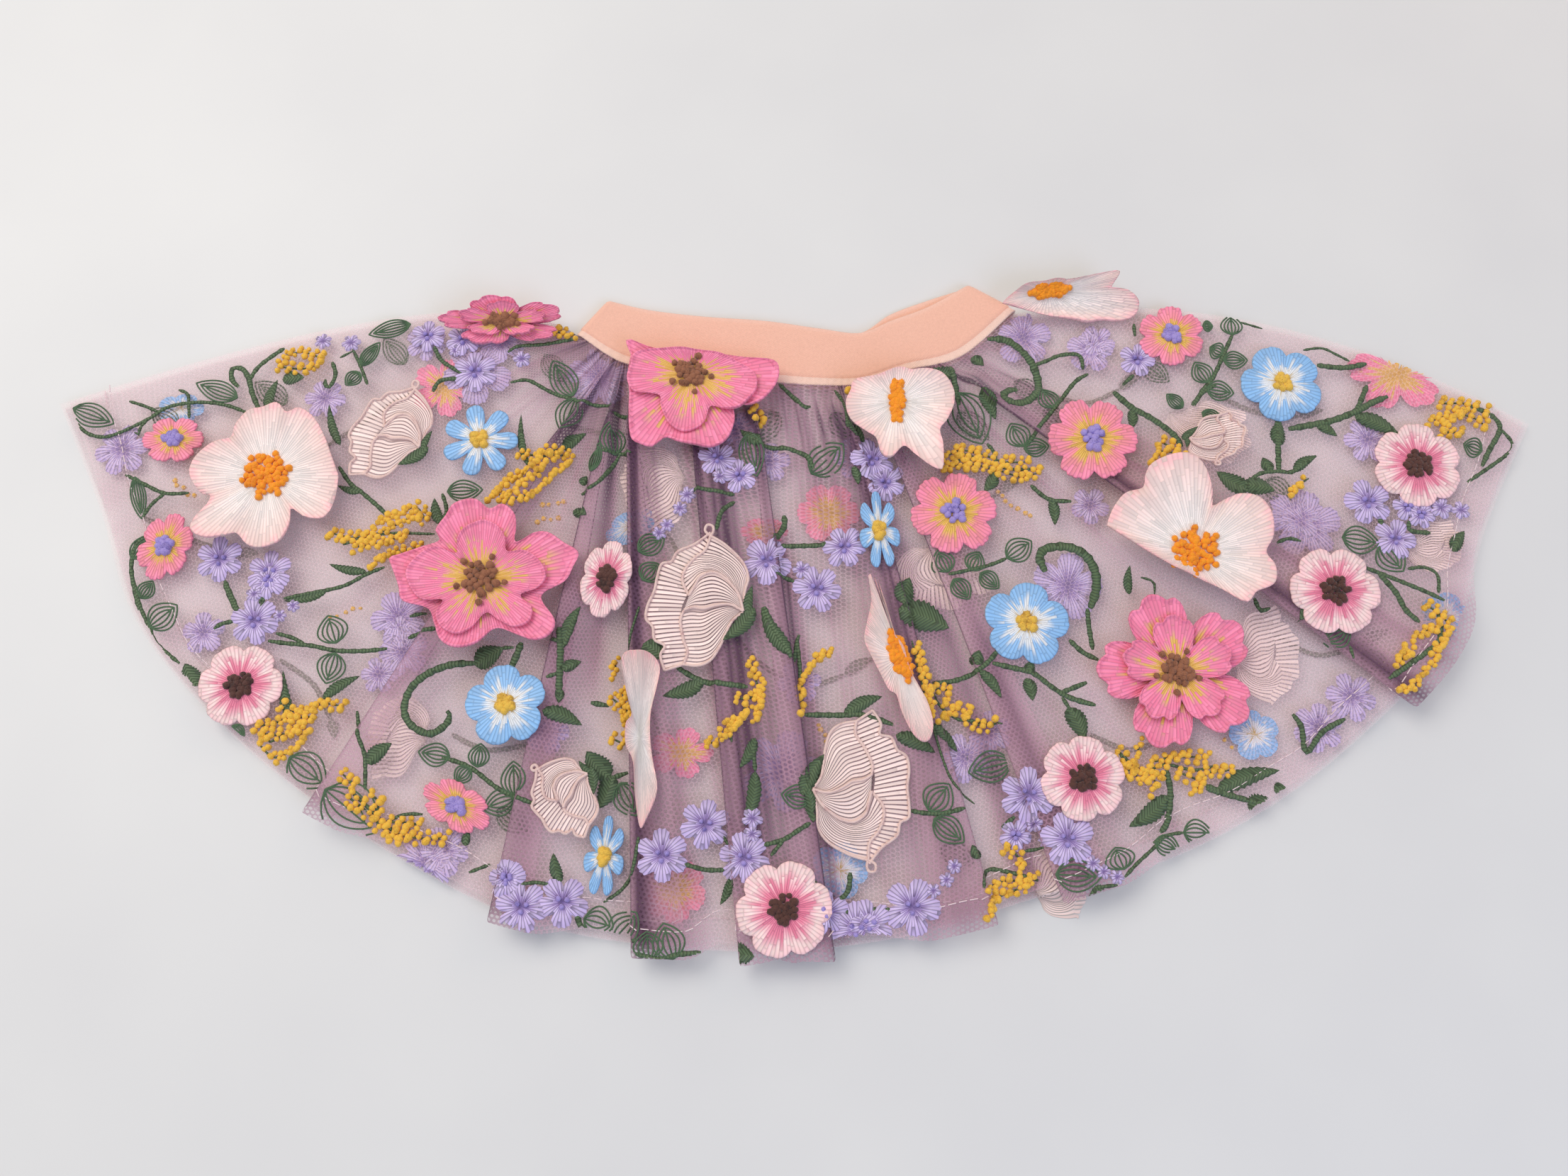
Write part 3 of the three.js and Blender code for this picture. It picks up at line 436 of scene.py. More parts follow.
# A pleat's cross-section on a row: two turns with a stretch of cloth between them
def pleatSection(pleat, down):
    edge, top, depth, ramp, turned = pleat
    steps = cloth["arcSteps"]
    turn = math.pi * float(ease(down / turned))
    opened = float(ease(2 * down / turned))
    arcStep = math.pi * cloth["foldRadius"] / steps * mix(cloth["arcAtWaist"], 1, opened)
    run = max(cloth["shortestRun"], depth * down)
    angles = [turn * (step + 0.5) / steps for step in range(steps)]
    runSteps = math.ceil(depth / cloth["runStep"])
    climb = cloth["shortestRun"] * math.sin(turn) + cloth["runRise"] * turn / math.pi
    moves = [(arcStep * math.cos(angle), arcStep * math.sin(angle)) for angle in angles]
    moves += [(run / runSteps * math.cos(turn), climb / runSteps)] * runSteps
    moves += moves[:steps][::-1]
    points = np.concatenate([[(0, 0)], np.cumsum(moves, axis=0)])
    total = points[-1, 1]
    points[:, 0] -= points[-1, 0] / 2
    if top < 0:
        points[:, 1] = total - points[:, 1]
    return points, total, top * (run - cloth["shortestRun"]) / 2, run


def rampHeight(pleat, total, run, scale, ray):
    edge, top, depth, ramp, turned = pleat
    past = (ray - edge) * top
    width = run / scale
    left = total * (1 - cloth["settled"])
    settling = total * (1 - cloth["settled"] * past / width)
    falling = left * (1 - ease((past - width) / ramp))
    return np.where(past <= 0, total, np.where(past < width, settling, falling))


# One row of a panel: each column's ray and its height above the layer
def rowColumns(pleats, counts, down, firstRay, endRay):
    sections = []
    for pleat in pleats:
        points, total, shift, run = pleatSection(pleat, down)
        scale = float(across(pleat[0], down)[1])
        sections.append((points, total, run, scale, pleat[0] + (shift + points[:, 0]) / scale))
    starts = [firstRay] + [section[4][-1] for section in sections]
    ends = [section[4][0] for section in sections] + [endRay]
    rayParts, upParts = [], []

    def place(ray, own, up):
        for index, (pleat, section) in enumerate(zip(pleats, sections)):
            passed = index < own if pleat[1] > 0 else index >= math.ceil(own)
            if passed and index != own:
                up = up + rampHeight(pleat, section[1], section[2], section[3], ray)
        rayParts.append(ray)
        upParts.append(up)

    for index, count in enumerate(counts):
        inside = np.linspace(starts[index], ends[index], count + 1)
        inside = inside[(1 if index else 0):(None if index == len(pleats) else -1)]
        place(inside, index - 0.5, np.zeros(len(inside)))
        if index < len(pleats):
            place(sections[index][4], index, sections[index][0][:, 1])
    return np.concatenate(rayParts), np.concatenate(upParts)


# A panel of the skirt as a grid of points, with what is needed to lay stitching on it.
# cloth is the way along the hem in the cloth itself, round every fold.
def makePanel(layer, pleats, rows, waistStep, hemStep, side=0.0, hemPast=0.0, rippled=False):
    firstRay, endRay = -side, lastRay + side
    stops = np.array([firstRay] + [pleat[0] for pleat in pleats] + [endRay])
    atWaist = np.diff(along(rays, stops)[:, 0]) * cloth["stationPitch"] / waistStep
    atHem = np.diff(stops) * cloth["rayPitch"] / hemStep
    counts = np.ceil(np.maximum(np.maximum(atWaist, atHem), 2)).astype(int)
    grid, rayGrid, upGrid = [], [], []
    for down in rows:
        ray, up = rowColumns(pleats, counts, down, firstRay, endRay)
        plan = fan(ray, down * (1 + cloth["upperHang"] * up + hemPast))
        height = layerHeight(layer, ray, down) + up + (ripple(ray, down) if rippled else 0)
        grid.append(np.column_stack([plan, height]))
        rayGrid.append(ray)
        upGrid.append(up)
    points, rayGrid, upGrid = np.array(grid), np.array(rayGrid), np.array(upGrid)
    hem = np.diff(points[-1], axis=0)
    hem[:, 2] = np.diff(upGrid[-1])
    way = np.concatenate([[0], np.cumsum(np.linalg.norm(hem, axis=1))])
    quads = gridFaces(points.shape[0], points.shape[1])
    tree = BVHTree.FromPolygons(points.reshape(-1, 3).tolist(), quads.tolist())
    return {"points": points, "rows": np.array(rows), "cloth": way, "quads": quads, "tree": tree,
            "up": upGrid, "ray": rayGrid}


def gridFaces(rowCount, columnCount, closed=False):
    columns = np.arange(columnCount if closed else columnCount - 1)
    row, column = np.meshgrid(np.arange(rowCount - 1), columns, indexing="ij")
    row, column = row.ravel(), column.ravel()
    after = (column + 1) % columnCount
    return np.column_stack([row * columnCount + column, (row + 1) * columnCount + column,
                            (row + 1) * columnCount + after, row * columnCount + after])


# Meshes

def newShape():
    return {"points": [], "faces": [], "uv": [], "reach": [], "count": 0}


def addFaces(shape, points, faces, uv, reach, inside=None):
    points = np.asarray(points, float).reshape(-1, 3)
    faces = np.asarray(faces)
    if inside is not None:
        faces = faces[inside.ravel()[faces].all(axis=1)]
    shape["points"].append(points)
    shape["faces"].append(faces + shape["count"])
    shape["uv"].append(np.asarray(uv, float).reshape(-1, 2))
    shape["reach"].append(np.broadcast_to(np.asarray(reach, float).ravel(), (len(points),)))
    shape["count"] += len(points)


def finishPiece(name, shape, material, uvName="stitch", reachName="reach"):
    points = (np.concatenate(shape["points"]) - originInPlan) * metre
    faces = [tuple(face) for part in shape["faces"] for face in part.tolist()]
    mesh = bpy.data.meshes.new(name)
    mesh.from_pydata(points.tolist(), [], faces)
    corners = np.empty(len(mesh.loops), int)
    mesh.loops.foreach_get("vertex_index", corners)
    mesh.uv_layers.new(name=uvName).data.foreach_set("uv", np.concatenate(shape["uv"])[corners].ravel())
    values = np.concatenate(shape["reach"]).astype(np.float32)
    mesh.attributes.new(reachName, "FLOAT", "POINT").data.foreach_set("value", values)
    mesh.shade_smooth()
    mesh.materials.append(material)
    form = bmesh.new()
    form.from_mesh(mesh)
    bmesh.ops.remove_doubles(form, verts=form.verts, dist=1e-6)
    bmesh.ops.delete(form, geom=[vertex for vertex in form.verts if not vertex.link_faces], context="VERTS")
    form.to_mesh(mesh)
    form.free()
    piece = bpy.data.objects.new(name, mesh)
    bpy.context.scene.collection.objects.link(piece)
    return piece


# The cloth: an embroidered net with a front and a back, and a plain lining inside it
frontRows = np.concatenate([np.linspace(0, 0.14, 16), np.linspace(0.14, 1, 72)[1:]])
netFront = makePanel("netFront", frontPleats, frontRows, 1.1, 4.0, rippled=True)
netBack = makePanel("netBack", [], np.linspace(0, 1, 40), 2.0, 6.0, hemPast=0.01)
liningFront = makePanel("liningFront", [], np.linspace(0, 1, 30), 3.0, 8.0, side=0.06, hemPast=0.012)
liningBack = makePanel("liningBack", [], np.linspace(0, 1, 30), 3.0, 8.0, side=0.06, hemPast=0.012)
# A net is cut as half a ring and a lining as a narrower fan, gathered by the waist seam
halfRing = {"inner": 95.0, "outer": 325.0, "turn": math.pi}
liningCut = {"inner": 95.0, "outer": 325.0, "turn": 2.5}


# The last argument gives each point's density, fold shade included, kept as a point attribute
def panelPiece(name, panel, cut, material, densityWithFoldShade):
    shape = newShape()
    way, down = np.meshgrid(panel["cloth"] / panel["cloth"][-1] - 0.5, panel["rows"])
    radius, angle = cut["inner"] + (cut["outer"] - cut["inner"]) * down, cut["turn"] * way
    uv = np.stack([radius * np.sin(angle), -radius * np.cos(angle)], axis=-1)
    addFaces(shape, panel["points"], panel["quads"], uv, densityWithFoldShade(panel))
    return finishPiece(name, shape, material, "cut", "densityWithFoldShade")


# How dense a net looks: where the cut is gathered into less width, on steep folds, and at the hem,
# with long streaks of painted fold shade added; the same value also darkens the net's colour as painted
# shade
density = {
    "full": 0.25, "steep": 1.5, "streak": 0.1, "hem": 0.2, "seam": 0.45, "folded": 0.13, "open": -0.19,
    "soft": 1.25, "fine": 0.35, "finePitch": 0.8,
}
# Painted shade of the long soft folds seen in the picture: ray, half its width in rays, how dense and
# dark, and where it starts and ends
softFolds = [
    (8.7, 1.5, 0.17, 0, 0.95), (5.9, 0.8, 0.07, 0, 0.6), (0.3, 0.4, 0.2, 0, 0.5), (1.6, 0.25, 0.18, 0, 0.4),
    (2.8, 0.3, 0.15, 0, 0.35), (3.95, 0.12, 0.3, 0.4, 1), (4.35, 0.16, 0.16, 0.1, 0.7),
    (5.3, 0.25, 0.2, 0, 0.4), (5.85, 0.18, 0.28, 0.45, 1), (6.35, 0.15, 0.4, 0, 0.6),
    (6.93, 0.09, 0.6, 0.1, 1), (7.62, 0.07, 0.3, 0, 0.8), (7.9, 0.13, 0.62, 0, 0.85),
    (8.42, 0.08, 0.62, 0.3, 1), (8.9, 0.2, 0.22, 0.05, 0.3), (9.5, 0.07, 0.3, 0.1, 0.7),
    (9.72, 0.1, 0.5, 0.15, 0.6), (9.95, 0.13, 0.62, 0.45, 1), (10.3, 0.08, 0.35, 0.5, 1),
    (10.9, 0.16, 0.26, 0, 0.3), (11.7, 0.25, 0.22, 0, 0.5), (12.5, 0.1, 0.35, 0.1, 0.55),
    (13.4, 0.09, 0.4, 0.3, 1), (14.2, 0.25, 0.16, 0, 0.4), (15, 0.25, 0.16, 0, 0.35),
    (2.3, 0.08, 0.13, 0.3, 1), (3.2, 0.06, 0.12, 0.4, 0.9), (4.9, 0.08, 0.13, 0.4, 1),
    (7.3, 0.05, 0.22, 0.3, 0.9), (8.8, 0.06, 0.16, 0.35, 0.85), (11.2, 0.06, 0.2, 0.4, 1),
    (12, 0.07, 0.15, 0.4, 1), (14.6, 0.08, 0.18, 0.4, 1), (15.4, 0.08, 0.14, 0.4, 1),
    (0.8, 0.05, 0.12, 0.1, 0.9), (1.2, 0.05, 0.1, 0.2, 1), (1.9, 0.05, 0.12, 0.1, 0.8),
    (2.6, 0.05, 0.12, 0.1, 0.9), (3.5, 0.05, 0.14, 0, 0.8), (4.6, 0.05, 0.16, 0.1, 1),
    (5.6, 0.05, 0.14, 0.1, 0.9), (12.8, 0.05, 0.2, 0.1, 0.9), (13.1, 0.04, 0.2, 0.1, 0.8),
    (13.75, 0.05, 0.18, 0.1, 1), (14.4, 0.05, 0.18, 0.1, 0.9), (15.1, 0.05, 0.16, 0.1, 1),
    (15.7, 0.05, 0.14, 0.1, 1), (11.5, 0.05, 0.18, 0.2, 1), (12.25, 0.05, 0.18, 0.2, 1),
    (10.7, 0.05, 0.16, 0.3, 1)]


def netDensityAndFoldShade(panel):
    way, down = np.meshgrid(panel["cloth"], panel["rows"])
    step = np.gradient(panel["points"], axis=1)
    width, length = np.linalg.norm(step[..., :2], axis=2), np.linalg.norm(step, axis=2)
    radius = halfRing["inner"] + (halfRing["outer"] - halfRing["inner"]) * down
    cutWidth = radius * halfRing["turn"] * np.gradient(panel["cloth"])[None, :] / panel["cloth"][-1]
    full = np.clip(cutWidth / np.maximum(length, 1e-6) - 1, 0, 1.2)
    steep = np.clip(length / np.maximum(width, 0.4 * length) - 1, 0, 1.2)
    streak = np.sin(way / 7.3 + 2 * np.sin(way / 31)) + np.sin(way / 2.9 + 2 * np.sin(way / 11))
    hem = ease((down - 0.945) / 0.01)
    total = density["open"] + density["full"] * full + density["steep"] * steep
    total += density["streak"] * streak * (1 - 0.5 * ease(down))
    total += density["folded"] * panel["up"] * ease(down / 0.05)
    # Painted shade: long soft fold streaks, making the net denser and darker
    for ray, halfWidth, streakShade, start, end in softFolds:
        aside = (panel["ray"] - ray) / halfWidth
        fade = ease((down - start) / 0.12 + 0.5) * ease((end - down) / 0.15 + 0.5)
        fine = 1 + density["fine"] * np.sin(way / density["finePitch"])
        total += density["soft"] * streakShade * fine * np.exp(-aside ** 2) * fade
    return np.clip(total + density["hem"] * hem + density["seam"] * np.exp(-down / 0.1), 0, 1)


def plainDensity(panel):
    return np.zeros(panel["points"].shape[:2])


tulleFront = nylonTulle("embroidered net, nylon tulle")
veil = fineNylonNet("lining, plain fine nylon net")
netPieces = {
    "frontNet": panelPiece("frontNet", netFront, halfRing, tulleFront, netDensityAndFoldShade),
    "backNet": panelPiece("backNet", netBack, halfRing, tulleFront, netDensityAndFoldShade),
    "frontLining": panelPiece("frontLining", liningFront, liningCut, veil, plainDensity),
    "backLining": panelPiece("backLining", liningBack, liningCut, veil, plainDensity),
}
print("nets and linings made")

# The waistband: one plush elastic ring pressed flat, with a thin pale lip at its lower edge
band = {
    "backZ": 1.0, "frontLowZ": 5.2, "frontTopZ": 3.4, "height": 25.0,
    "lip": 0.55, "elastic": 0.95, "stepsPerStation": 24, "turnSteps": 10,
    "pucker": 0.28, "puckerPitch": 4.2, "groove": 0.16, "grooveAt": 0.945, "lipEnds": 0.125,
    "lowRows": [0, 0.02, 0.05, 0.09, 0.125, 0.145, 0.165, 0.2], "topRows": [0.94, 0.965, 0.985, 1.0],
    "tones": ([0, 3.2, 3.7, 23, 23.6, 25], [0.02, 0.12, 0.42, 0.5, 0.72, 0.78]),
}


def makeBand():
    end = len(bandStations) - 1
    length = end * band["stepsPerStation"]
    place = np.concatenate([np.linspace(0, end, length + 1), np.full(band["turnSteps"] - 1, float(end)),
                            np.linspace(end, 0, length + 1), np.zeros(band["turnSteps"] - 1)])
    turn = math.pi * np.arange(1, band["turnSteps"]) / band["turnSteps"]
    angle = np.concatenate([np.zeros(length + 1), turn, np.full(length + 1, math.pi), turn[::-1]])
    side = np.concatenate([np.ones(length + band["turnSteps"]), -np.ones(length + band["turnSteps"])])
    heights = np.concatenate([band["lowRows"], np.linspace(0.26, 0.9, 9), band["topRows"]])
    grid, outs, halves = [], [], []
    way = place * cloth["stationPitch"]
    for height in heights:
        frontZ = mix(band["frontLowZ"], band["frontTopZ"], height)
        radius = (frontZ - band["backZ"]) / 2
        plan = bandPoint(place, height)
        step = bandPoint(np.minimum(end, place + 0.05), height)
        step = step - bandPoint(np.maximum(0, place - 0.05), height)
        step /= np.linalg.norm(step, axis=1, keepdims=True)
        out = step * (side * np.sin(angle))[:, None]
        peek = along(bandStations, place)[:, 4] * (1 - np.cos(angle)) / 2 * height
        z = band["backZ"] + radius * (1 + np.cos(angle))
        x, y = plan[:, 0] + radius * out[:, 0], plan[:, 1] + radius * out[:, 1] + peek
        grid.append(np.column_stack([x, y, z]))
        outs.append(np.column_stack([out, np.cos(angle)]))
        lip = ease((height - band["lipEnds"]) / 0.04)
        half = mix(band["lip"], band["elastic"], lip)
        groove = band["groove"] * math.exp(-((height - band["grooveAt"]) / 0.014) ** 2)
        edge = 1 - 0.5 * ease((height - 0.955) / 0.045) - 0.35 * ease((0.02 - height) / 0.02)
        wave = band["pucker"] * np.sin(2 * math.pi * way / band["puckerPitch"] + 1.5 * np.sin(way / 9))
        shallow = math.exp(-((height - 0.1) / 0.08) ** 2) * (np.cos(angle) > 0)
        halves.append(np.full(len(place), half - groove) * edge + 0.5 * wave * shallow)
    grid, outs, halves = np.array(grid), np.array(outs), np.array(halves)
    front, back = grid + outs * halves[..., None], grid - outs * halves[..., None]
    loop = np.concatenate([front, back[::-1]])
    rows = len(loop)
    faces = gridFaces(rows, len(place), closed=True)
    seam = gridFaces(2, len(place), closed=True)
    seam = np.where(seam < len(place), seam + (rows - 1) * len(place), seam - len(place))
    across = np.concatenate([heights, heights[::-1]]) * band["height"]
    aroundWay = np.broadcast_to(way, (rows, len(place)))
    uv = np.stack([aroundWay, np.broadcast_to(across[:, None], aroundWay.shape)], axis=-1)
    shape = newShape()
    tone = np.interp(across, *band["tones"])
    addFaces(shape, loop, np.concatenate([faces, seam]), uv, np.broadcast_to(tone[:, None], aroundWay.shape))
    return shape


bandShape = makeBand()
waistband = finishPiece("elasticBand", bandShape, plushElastic("waistband, brushed plush elastic"))
print("waistband made")


# What a stitched thing rests on: the highest cloth or blossom over each point in plan
straightDown = Vector((0, 0, -1))


def groundAt(trees, plan):
    heights = np.full(len(plan), -np.inf)
    for place, (x, y) in enumerate(plan.tolist()):
        for tree in trees:
            hit = tree.ray_cast(Vector((x, y, 100)), straightDown)[0]
            if hit is not None and hit.z > heights[place]:
                heights[place] = hit.z
    return heights


# Lays flat stitching on cloth; what hangs past its edge is left out
def drape(trees, plan, heights):
    shape = plan.shape[:-1]
    ground = groundAt(trees, plan.reshape(-1, 2)).reshape(shape)
    inside = np.isfinite(ground)
    return np.dstack([plan[..., 0], plan[..., 1], np.where(inside, ground, 0) + heights]), inside


# A lobed disc of radial thread. place() puts its own flat coordinates and heights in space.
def rosette(shape, place, reach, outline, rings, heights, under=None, spokes=120, threads=0.65, crease=0.0):
    angle = np.linspace(0, 2 * math.pi, spokes + 1)
    edge = outline(angle)
    shares = np.array(rings)
    radius = reach * shares[:, None] * edge[None, :]
    up = np.broadcast_to(np.array(heights, float).reshape(len(rings), -1), radius.shape).copy()
    nearby = np.mean([np.roll(edge[:-1], step) for step in (-9, -6, 6, 9)], axis=0) - edge[:-1]
    dip = np.clip(6 * np.append(nearby, nearby[0]), 0, 1)
    up -= crease * dip * np.clip(4 * shares[:, None] - 1.2, 0, 1)
    tone = np.broadcast_to(shares[:, None], radius.shape)
    if under is not None:
        low = np.array(under)
        radius = np.concatenate([radius, reach * low[:, 0:1] * edge[None, :]])
        up = np.concatenate([up, np.broadcast_to(low[:, 1:2], (len(low), spokes + 1))])
        tone = np.concatenate([tone, np.broadcast_to(low[:, 0:1], (len(low), spokes + 1))])
    plan = np.stack([radius * np.cos(angle), radius * np.sin(angle)], axis=-1)
    points, inside = place(plan, up)
    uv = np.stack([np.broadcast_to(angle * reach * threads, radius.shape), radius], axis=-1)
    addFaces(shape, points, gridFaces(*radius.shape)[:, ::-1], uv, tone, inside)


def petalled(count, edge, turn=0.0):
    steps = np.linspace(-1, 1, len(edge))

    def outline(angle):
        return np.interp(((angle - turn) * count / (2 * math.pi) + 0.5) % 1 * 2 - 1, steps, edge)

    return outline


petalEdges = {
    "rose": [0.5, 0.72, 0.86, 0.93, 0.89, 0.97, 1, 0.97, 0.87, 0.92, 0.86, 0.72, 0.5],
    "white": [0.7, 0.84, 0.92, 0.96, 0.985, 1, 1, 0.98, 0.96, 0.93, 0.88, 0.8, 0.7],
    "anemone": [0.84, 0.92, 0.97, 1, 0.99, 1, 1, 0.98, 1, 0.99, 0.96, 0.92, 0.84],
    "aster": [0.74, 0.83, 0.95, 0.97, 0.93, 1, 0.96, 0.99, 0.92, 0.96, 0.93, 0.85, 0.74],
    "blue": [0.76, 0.87, 0.94, 0.97, 1, 0.98, 1, 1, 0.98, 0.96, 0.92, 0.86, 0.76],
    "narrow": [0.42, 0.62, 0.84, 0.93, 0.98, 1, 1, 0.99, 0.97, 0.92, 0.82, 0.6, 0.42],
}
# A bell seen from the side, in shares of its reach. Every line starts at the calyx, or at the tip.
bellLines = {
    "top": [(0.63, -0.24), (0.65, 0.07), (0.7, 0.29), (0.61, 0.53), (0.37, 0.77), (0.14, 0.91)],
    "frontTop": [(0.63, -0.23), (0.57, 0), (0.47, 0.15), (0.36, 0.27), (0.19, 0.35), (0.01, 0.29),
        (-0.08, 0.15), (-0.16, 0)],
    "frontLow": [(0.63, -0.23), (0.43, -0.13), (0.23, -0.15), (0.06, -0.2), (-0.1, -0.18), (-0.23, -0.22)],
    "bottom": [(0.63, -0.24), (0.47, -0.38), (0.36, -0.62), (0.28, -0.8), (0.16, -0.97), (-0.01, -1.04),
        (-0.23, -1.02)],
    "rimTop": [(0.14, 0.91), (0.06, 0.69), (-0.1, 0.57), (-0.23, 0.4), (-0.26, 0.22), (-0.16, 0)],
    "rimLow": [(-0.23, -0.22), (-0.28, -0.38), (-0.23, -0.66), (-0.17, -0.84), (-0.23, -1.02)],
    "frontEnd": [(-0.16, 0), (-0.23, -0.22)],
    "frill": [(0.14, 0.96), (-0.08, 0.8), (-0.34, 0.69), (-0.43, 0.53), (-0.57, 0.49), (-0.63, 0.29),
        (-0.67, 0.07), (-0.76, -0.15), (-0.78, -0.35), (-0.68, -0.47), (-0.65, -0.66), (-0.5, -0.75),
        (-0.56, -0.89), (-0.5, -1.11)],
    "rim": [(0.14, 0.91), (0.06, 0.69), (-0.1, 0.57), (-0.23, 0.4), (-0.26, 0.22), (-0.19, 0.04),
        (-0.26, -0.15), (-0.28, -0.38), (-0.23, -0.66), (-0.17, -0.84), (-0.23, -1.02)],
    "tip": [(0.14, 0.91), (0.06, 0.99), (0.09, 1.08), (0.17, 1.06), (0.18, 0.98), (0.14, 0.91)],
    "end": [(-0.5, -1.11), (-0.23, -1.02)],
}
# Edges of blossoms with a form of their own, in plan from their place, after where the heart lies
drawnEdges = {
    ("rose", 0, 0):  [(0, 0), (-37, 9), (-34, 2), (-32, -3), (-30, -9), (-20, -12), (-17, -18), (-14, -25),
        (-8, -28), (0, -26), (7, -20), (16, -23), (22, -25), (28, -23), (30, -17), (24, -7), (33, -1),
        (36, 5), (38, 11), (32, 15), (26, 19), (20, 19), (13, 15), (13, 22), (12, 27), (7, 31), (2, 29),
        (-4, 33), (-12, 31), (-15, 26), (-19, 20), (-17, 16), (-25, 13), (-33, 10)],
    ("rose", 0, 1):  [(0, 0), (0, 24), (5, 22), (9, 17), (10, 11), (17, 11), (23, 7), (26, 1), (23, -4),
        (16, -7), (21, -12), (20, -18), (14, -20), (8, -17), (3, -14), (-2, -20), (-8, -23), (-14, -20),
        (-16, -14), (-14, -9), (-22, -9), (-27, -4), (-29, 3), (-24, 10), (-18, 13), (-10, 10), (-10, 16),
        (-7, 21)],
    ("rose", 1, 0):  [(1, 3), (-24, 12), (-25, 3), (-24, -6), (-24, -14), (-23, -25), (-19, -28),
        (-14, -29), (-9, -25), (-4, -27), (3, -29), (10, -30), (16, -26), (19, -18), (19, -11), (25, -11),
        (31, -8), (36, -1), (37, 6), (34, 10), (22, 11), (8, 13), (-6, 14), (-16, 15), (-26, 19)],
    ("rose", 1, 1):  [(1, 3), (-24, 5), (-25, 0), (-22, -6), (-12, -7), (-11, -12), (-8, -19), (-3, -23),
        (2, -23), (7, -19), (9, -12), (14, -13), (20, -13), (24, -10), (28, -4), (27, 3), (20, 8), (12, 12),
        (0, 14), (-12, 14), (-22, 12)],
    ("white", 0, 0):  [(1, 1), (31, 0), (30, -10), (27, -17), (22, -18), (16, -16), (13, -13), (13, -20),
        (10, -27), (3, -30), (-3, -29), (-8, -24), (-12, -25), (-20, -26), (-26, -23), (-25, -18),
        (-21, -12), (-20, -8), (-24, -7), (-29, 0), (-29, 5), (-26, 10), (-20, 15), (-14, 17), (-13, 22),
        (-8, 28), (-2, 29), (4, 31), (8, 27), (13, 29), (19, 25), (24, 17), (27, 10)],
    ("white", 1, 0):  [(-1, 5), (5, 18), (12, 18), (18, 16), (22, 10), (22, 3), (19, -4), (16, -8),
        (17, -14), (17, -22), (16, -26), (11, -24), (5, -19), (1, -16), (-4, -21), (-8, -19), (-10, -12),
        (-14, -9), (-20, -4), (-22, 3), (-20, 9), (-18, 14), (-8, 16), (0, 19)],
    ("white", 2, 0):  [(-2, -12), (-37, -2), (-34, 5), (-29, 11), (-22, 13), (-21, 18), (-18, 23), (-9, 27),
        (-1, 27), (4, 21), (6, 12), (5, 6), (11, 9), (17, 11), (24, 9), (28, 2), (28, -7), (25, -13),
        (28, -19), (27, -26), (20, -29), (16, -33), (6, -27), (-2, -23), (-12, -18), (-22, -12)],
    ("white", 3, 0):  [(-10, 8), (-30, 2), (-20, 0), (-10, -2), (0, -3), (6, -4), (12, -3), (20, -3),
        (26, -1), (28, 3), (27, 6), (22, 9), (16, 9), (19, 15), (10, 14), (0, 12), (-8, 11), (-20, 9),
        (-27, 5)],
    ("white", 4, 0):  [(1, 0), (-3, 33), (-6, 30), (-5, 20), (-2, 9), (-4, 5), (-4, -3), (-1, -10),
        (0, -22), (2, -34), (4, -32), (8, -20), (6, -8), (5, 0), (5, 10), (7, 20), (8, 28), (4, 33)],
    ("white", 5, 0):  [(1, 6), (-11, 38), (-10, 28), (-12, 18), (-13, 11), (-10, 4), (-7, -2), (-4, -8),
        (-1, -10), (1, -17), (5, -25), (9, -28), (12, -26), (13, -20), (11, -12), (8, -6), (5, 0), (2, 10),
        (-3, 18), (-5, 29), (-8, 38)],
}
bellTurns = [-15, 0, 195, 57, 190]
bell = {"ribPitch": 1.6, "cord": 0.55, "crown": 1.7, "plate": 0.9,
        "calyx": [((0.7, -0.3), (0.76, 0.16), 0.16), ((0.8, -0.18), (0.34, -0.68), 0.27)]}


def wayAlong(points):
    return np.concatenate([[0], np.cumsum(np.linalg.norm(np.diff(points, axis=0), axis=1))])


def lengthOf(points):
    return np.linalg.norm(np.diff(np.array(points, float), axis=0), axis=1).sum()


# A row of points, evenly spaced, on a smooth line through a few
def smoothLine(points, count):
    table = np.array(points, float)
    fine = along(table, np.linspace(0, len(table) - 1, 12 * len(table)))
    way = wayAlong(fine)
    even = np.linspace(0, way[-1], count)
    return np.stack([np.interp(even, way, fine[:, axis]) for axis in range(fine.shape[1])], axis=-1)


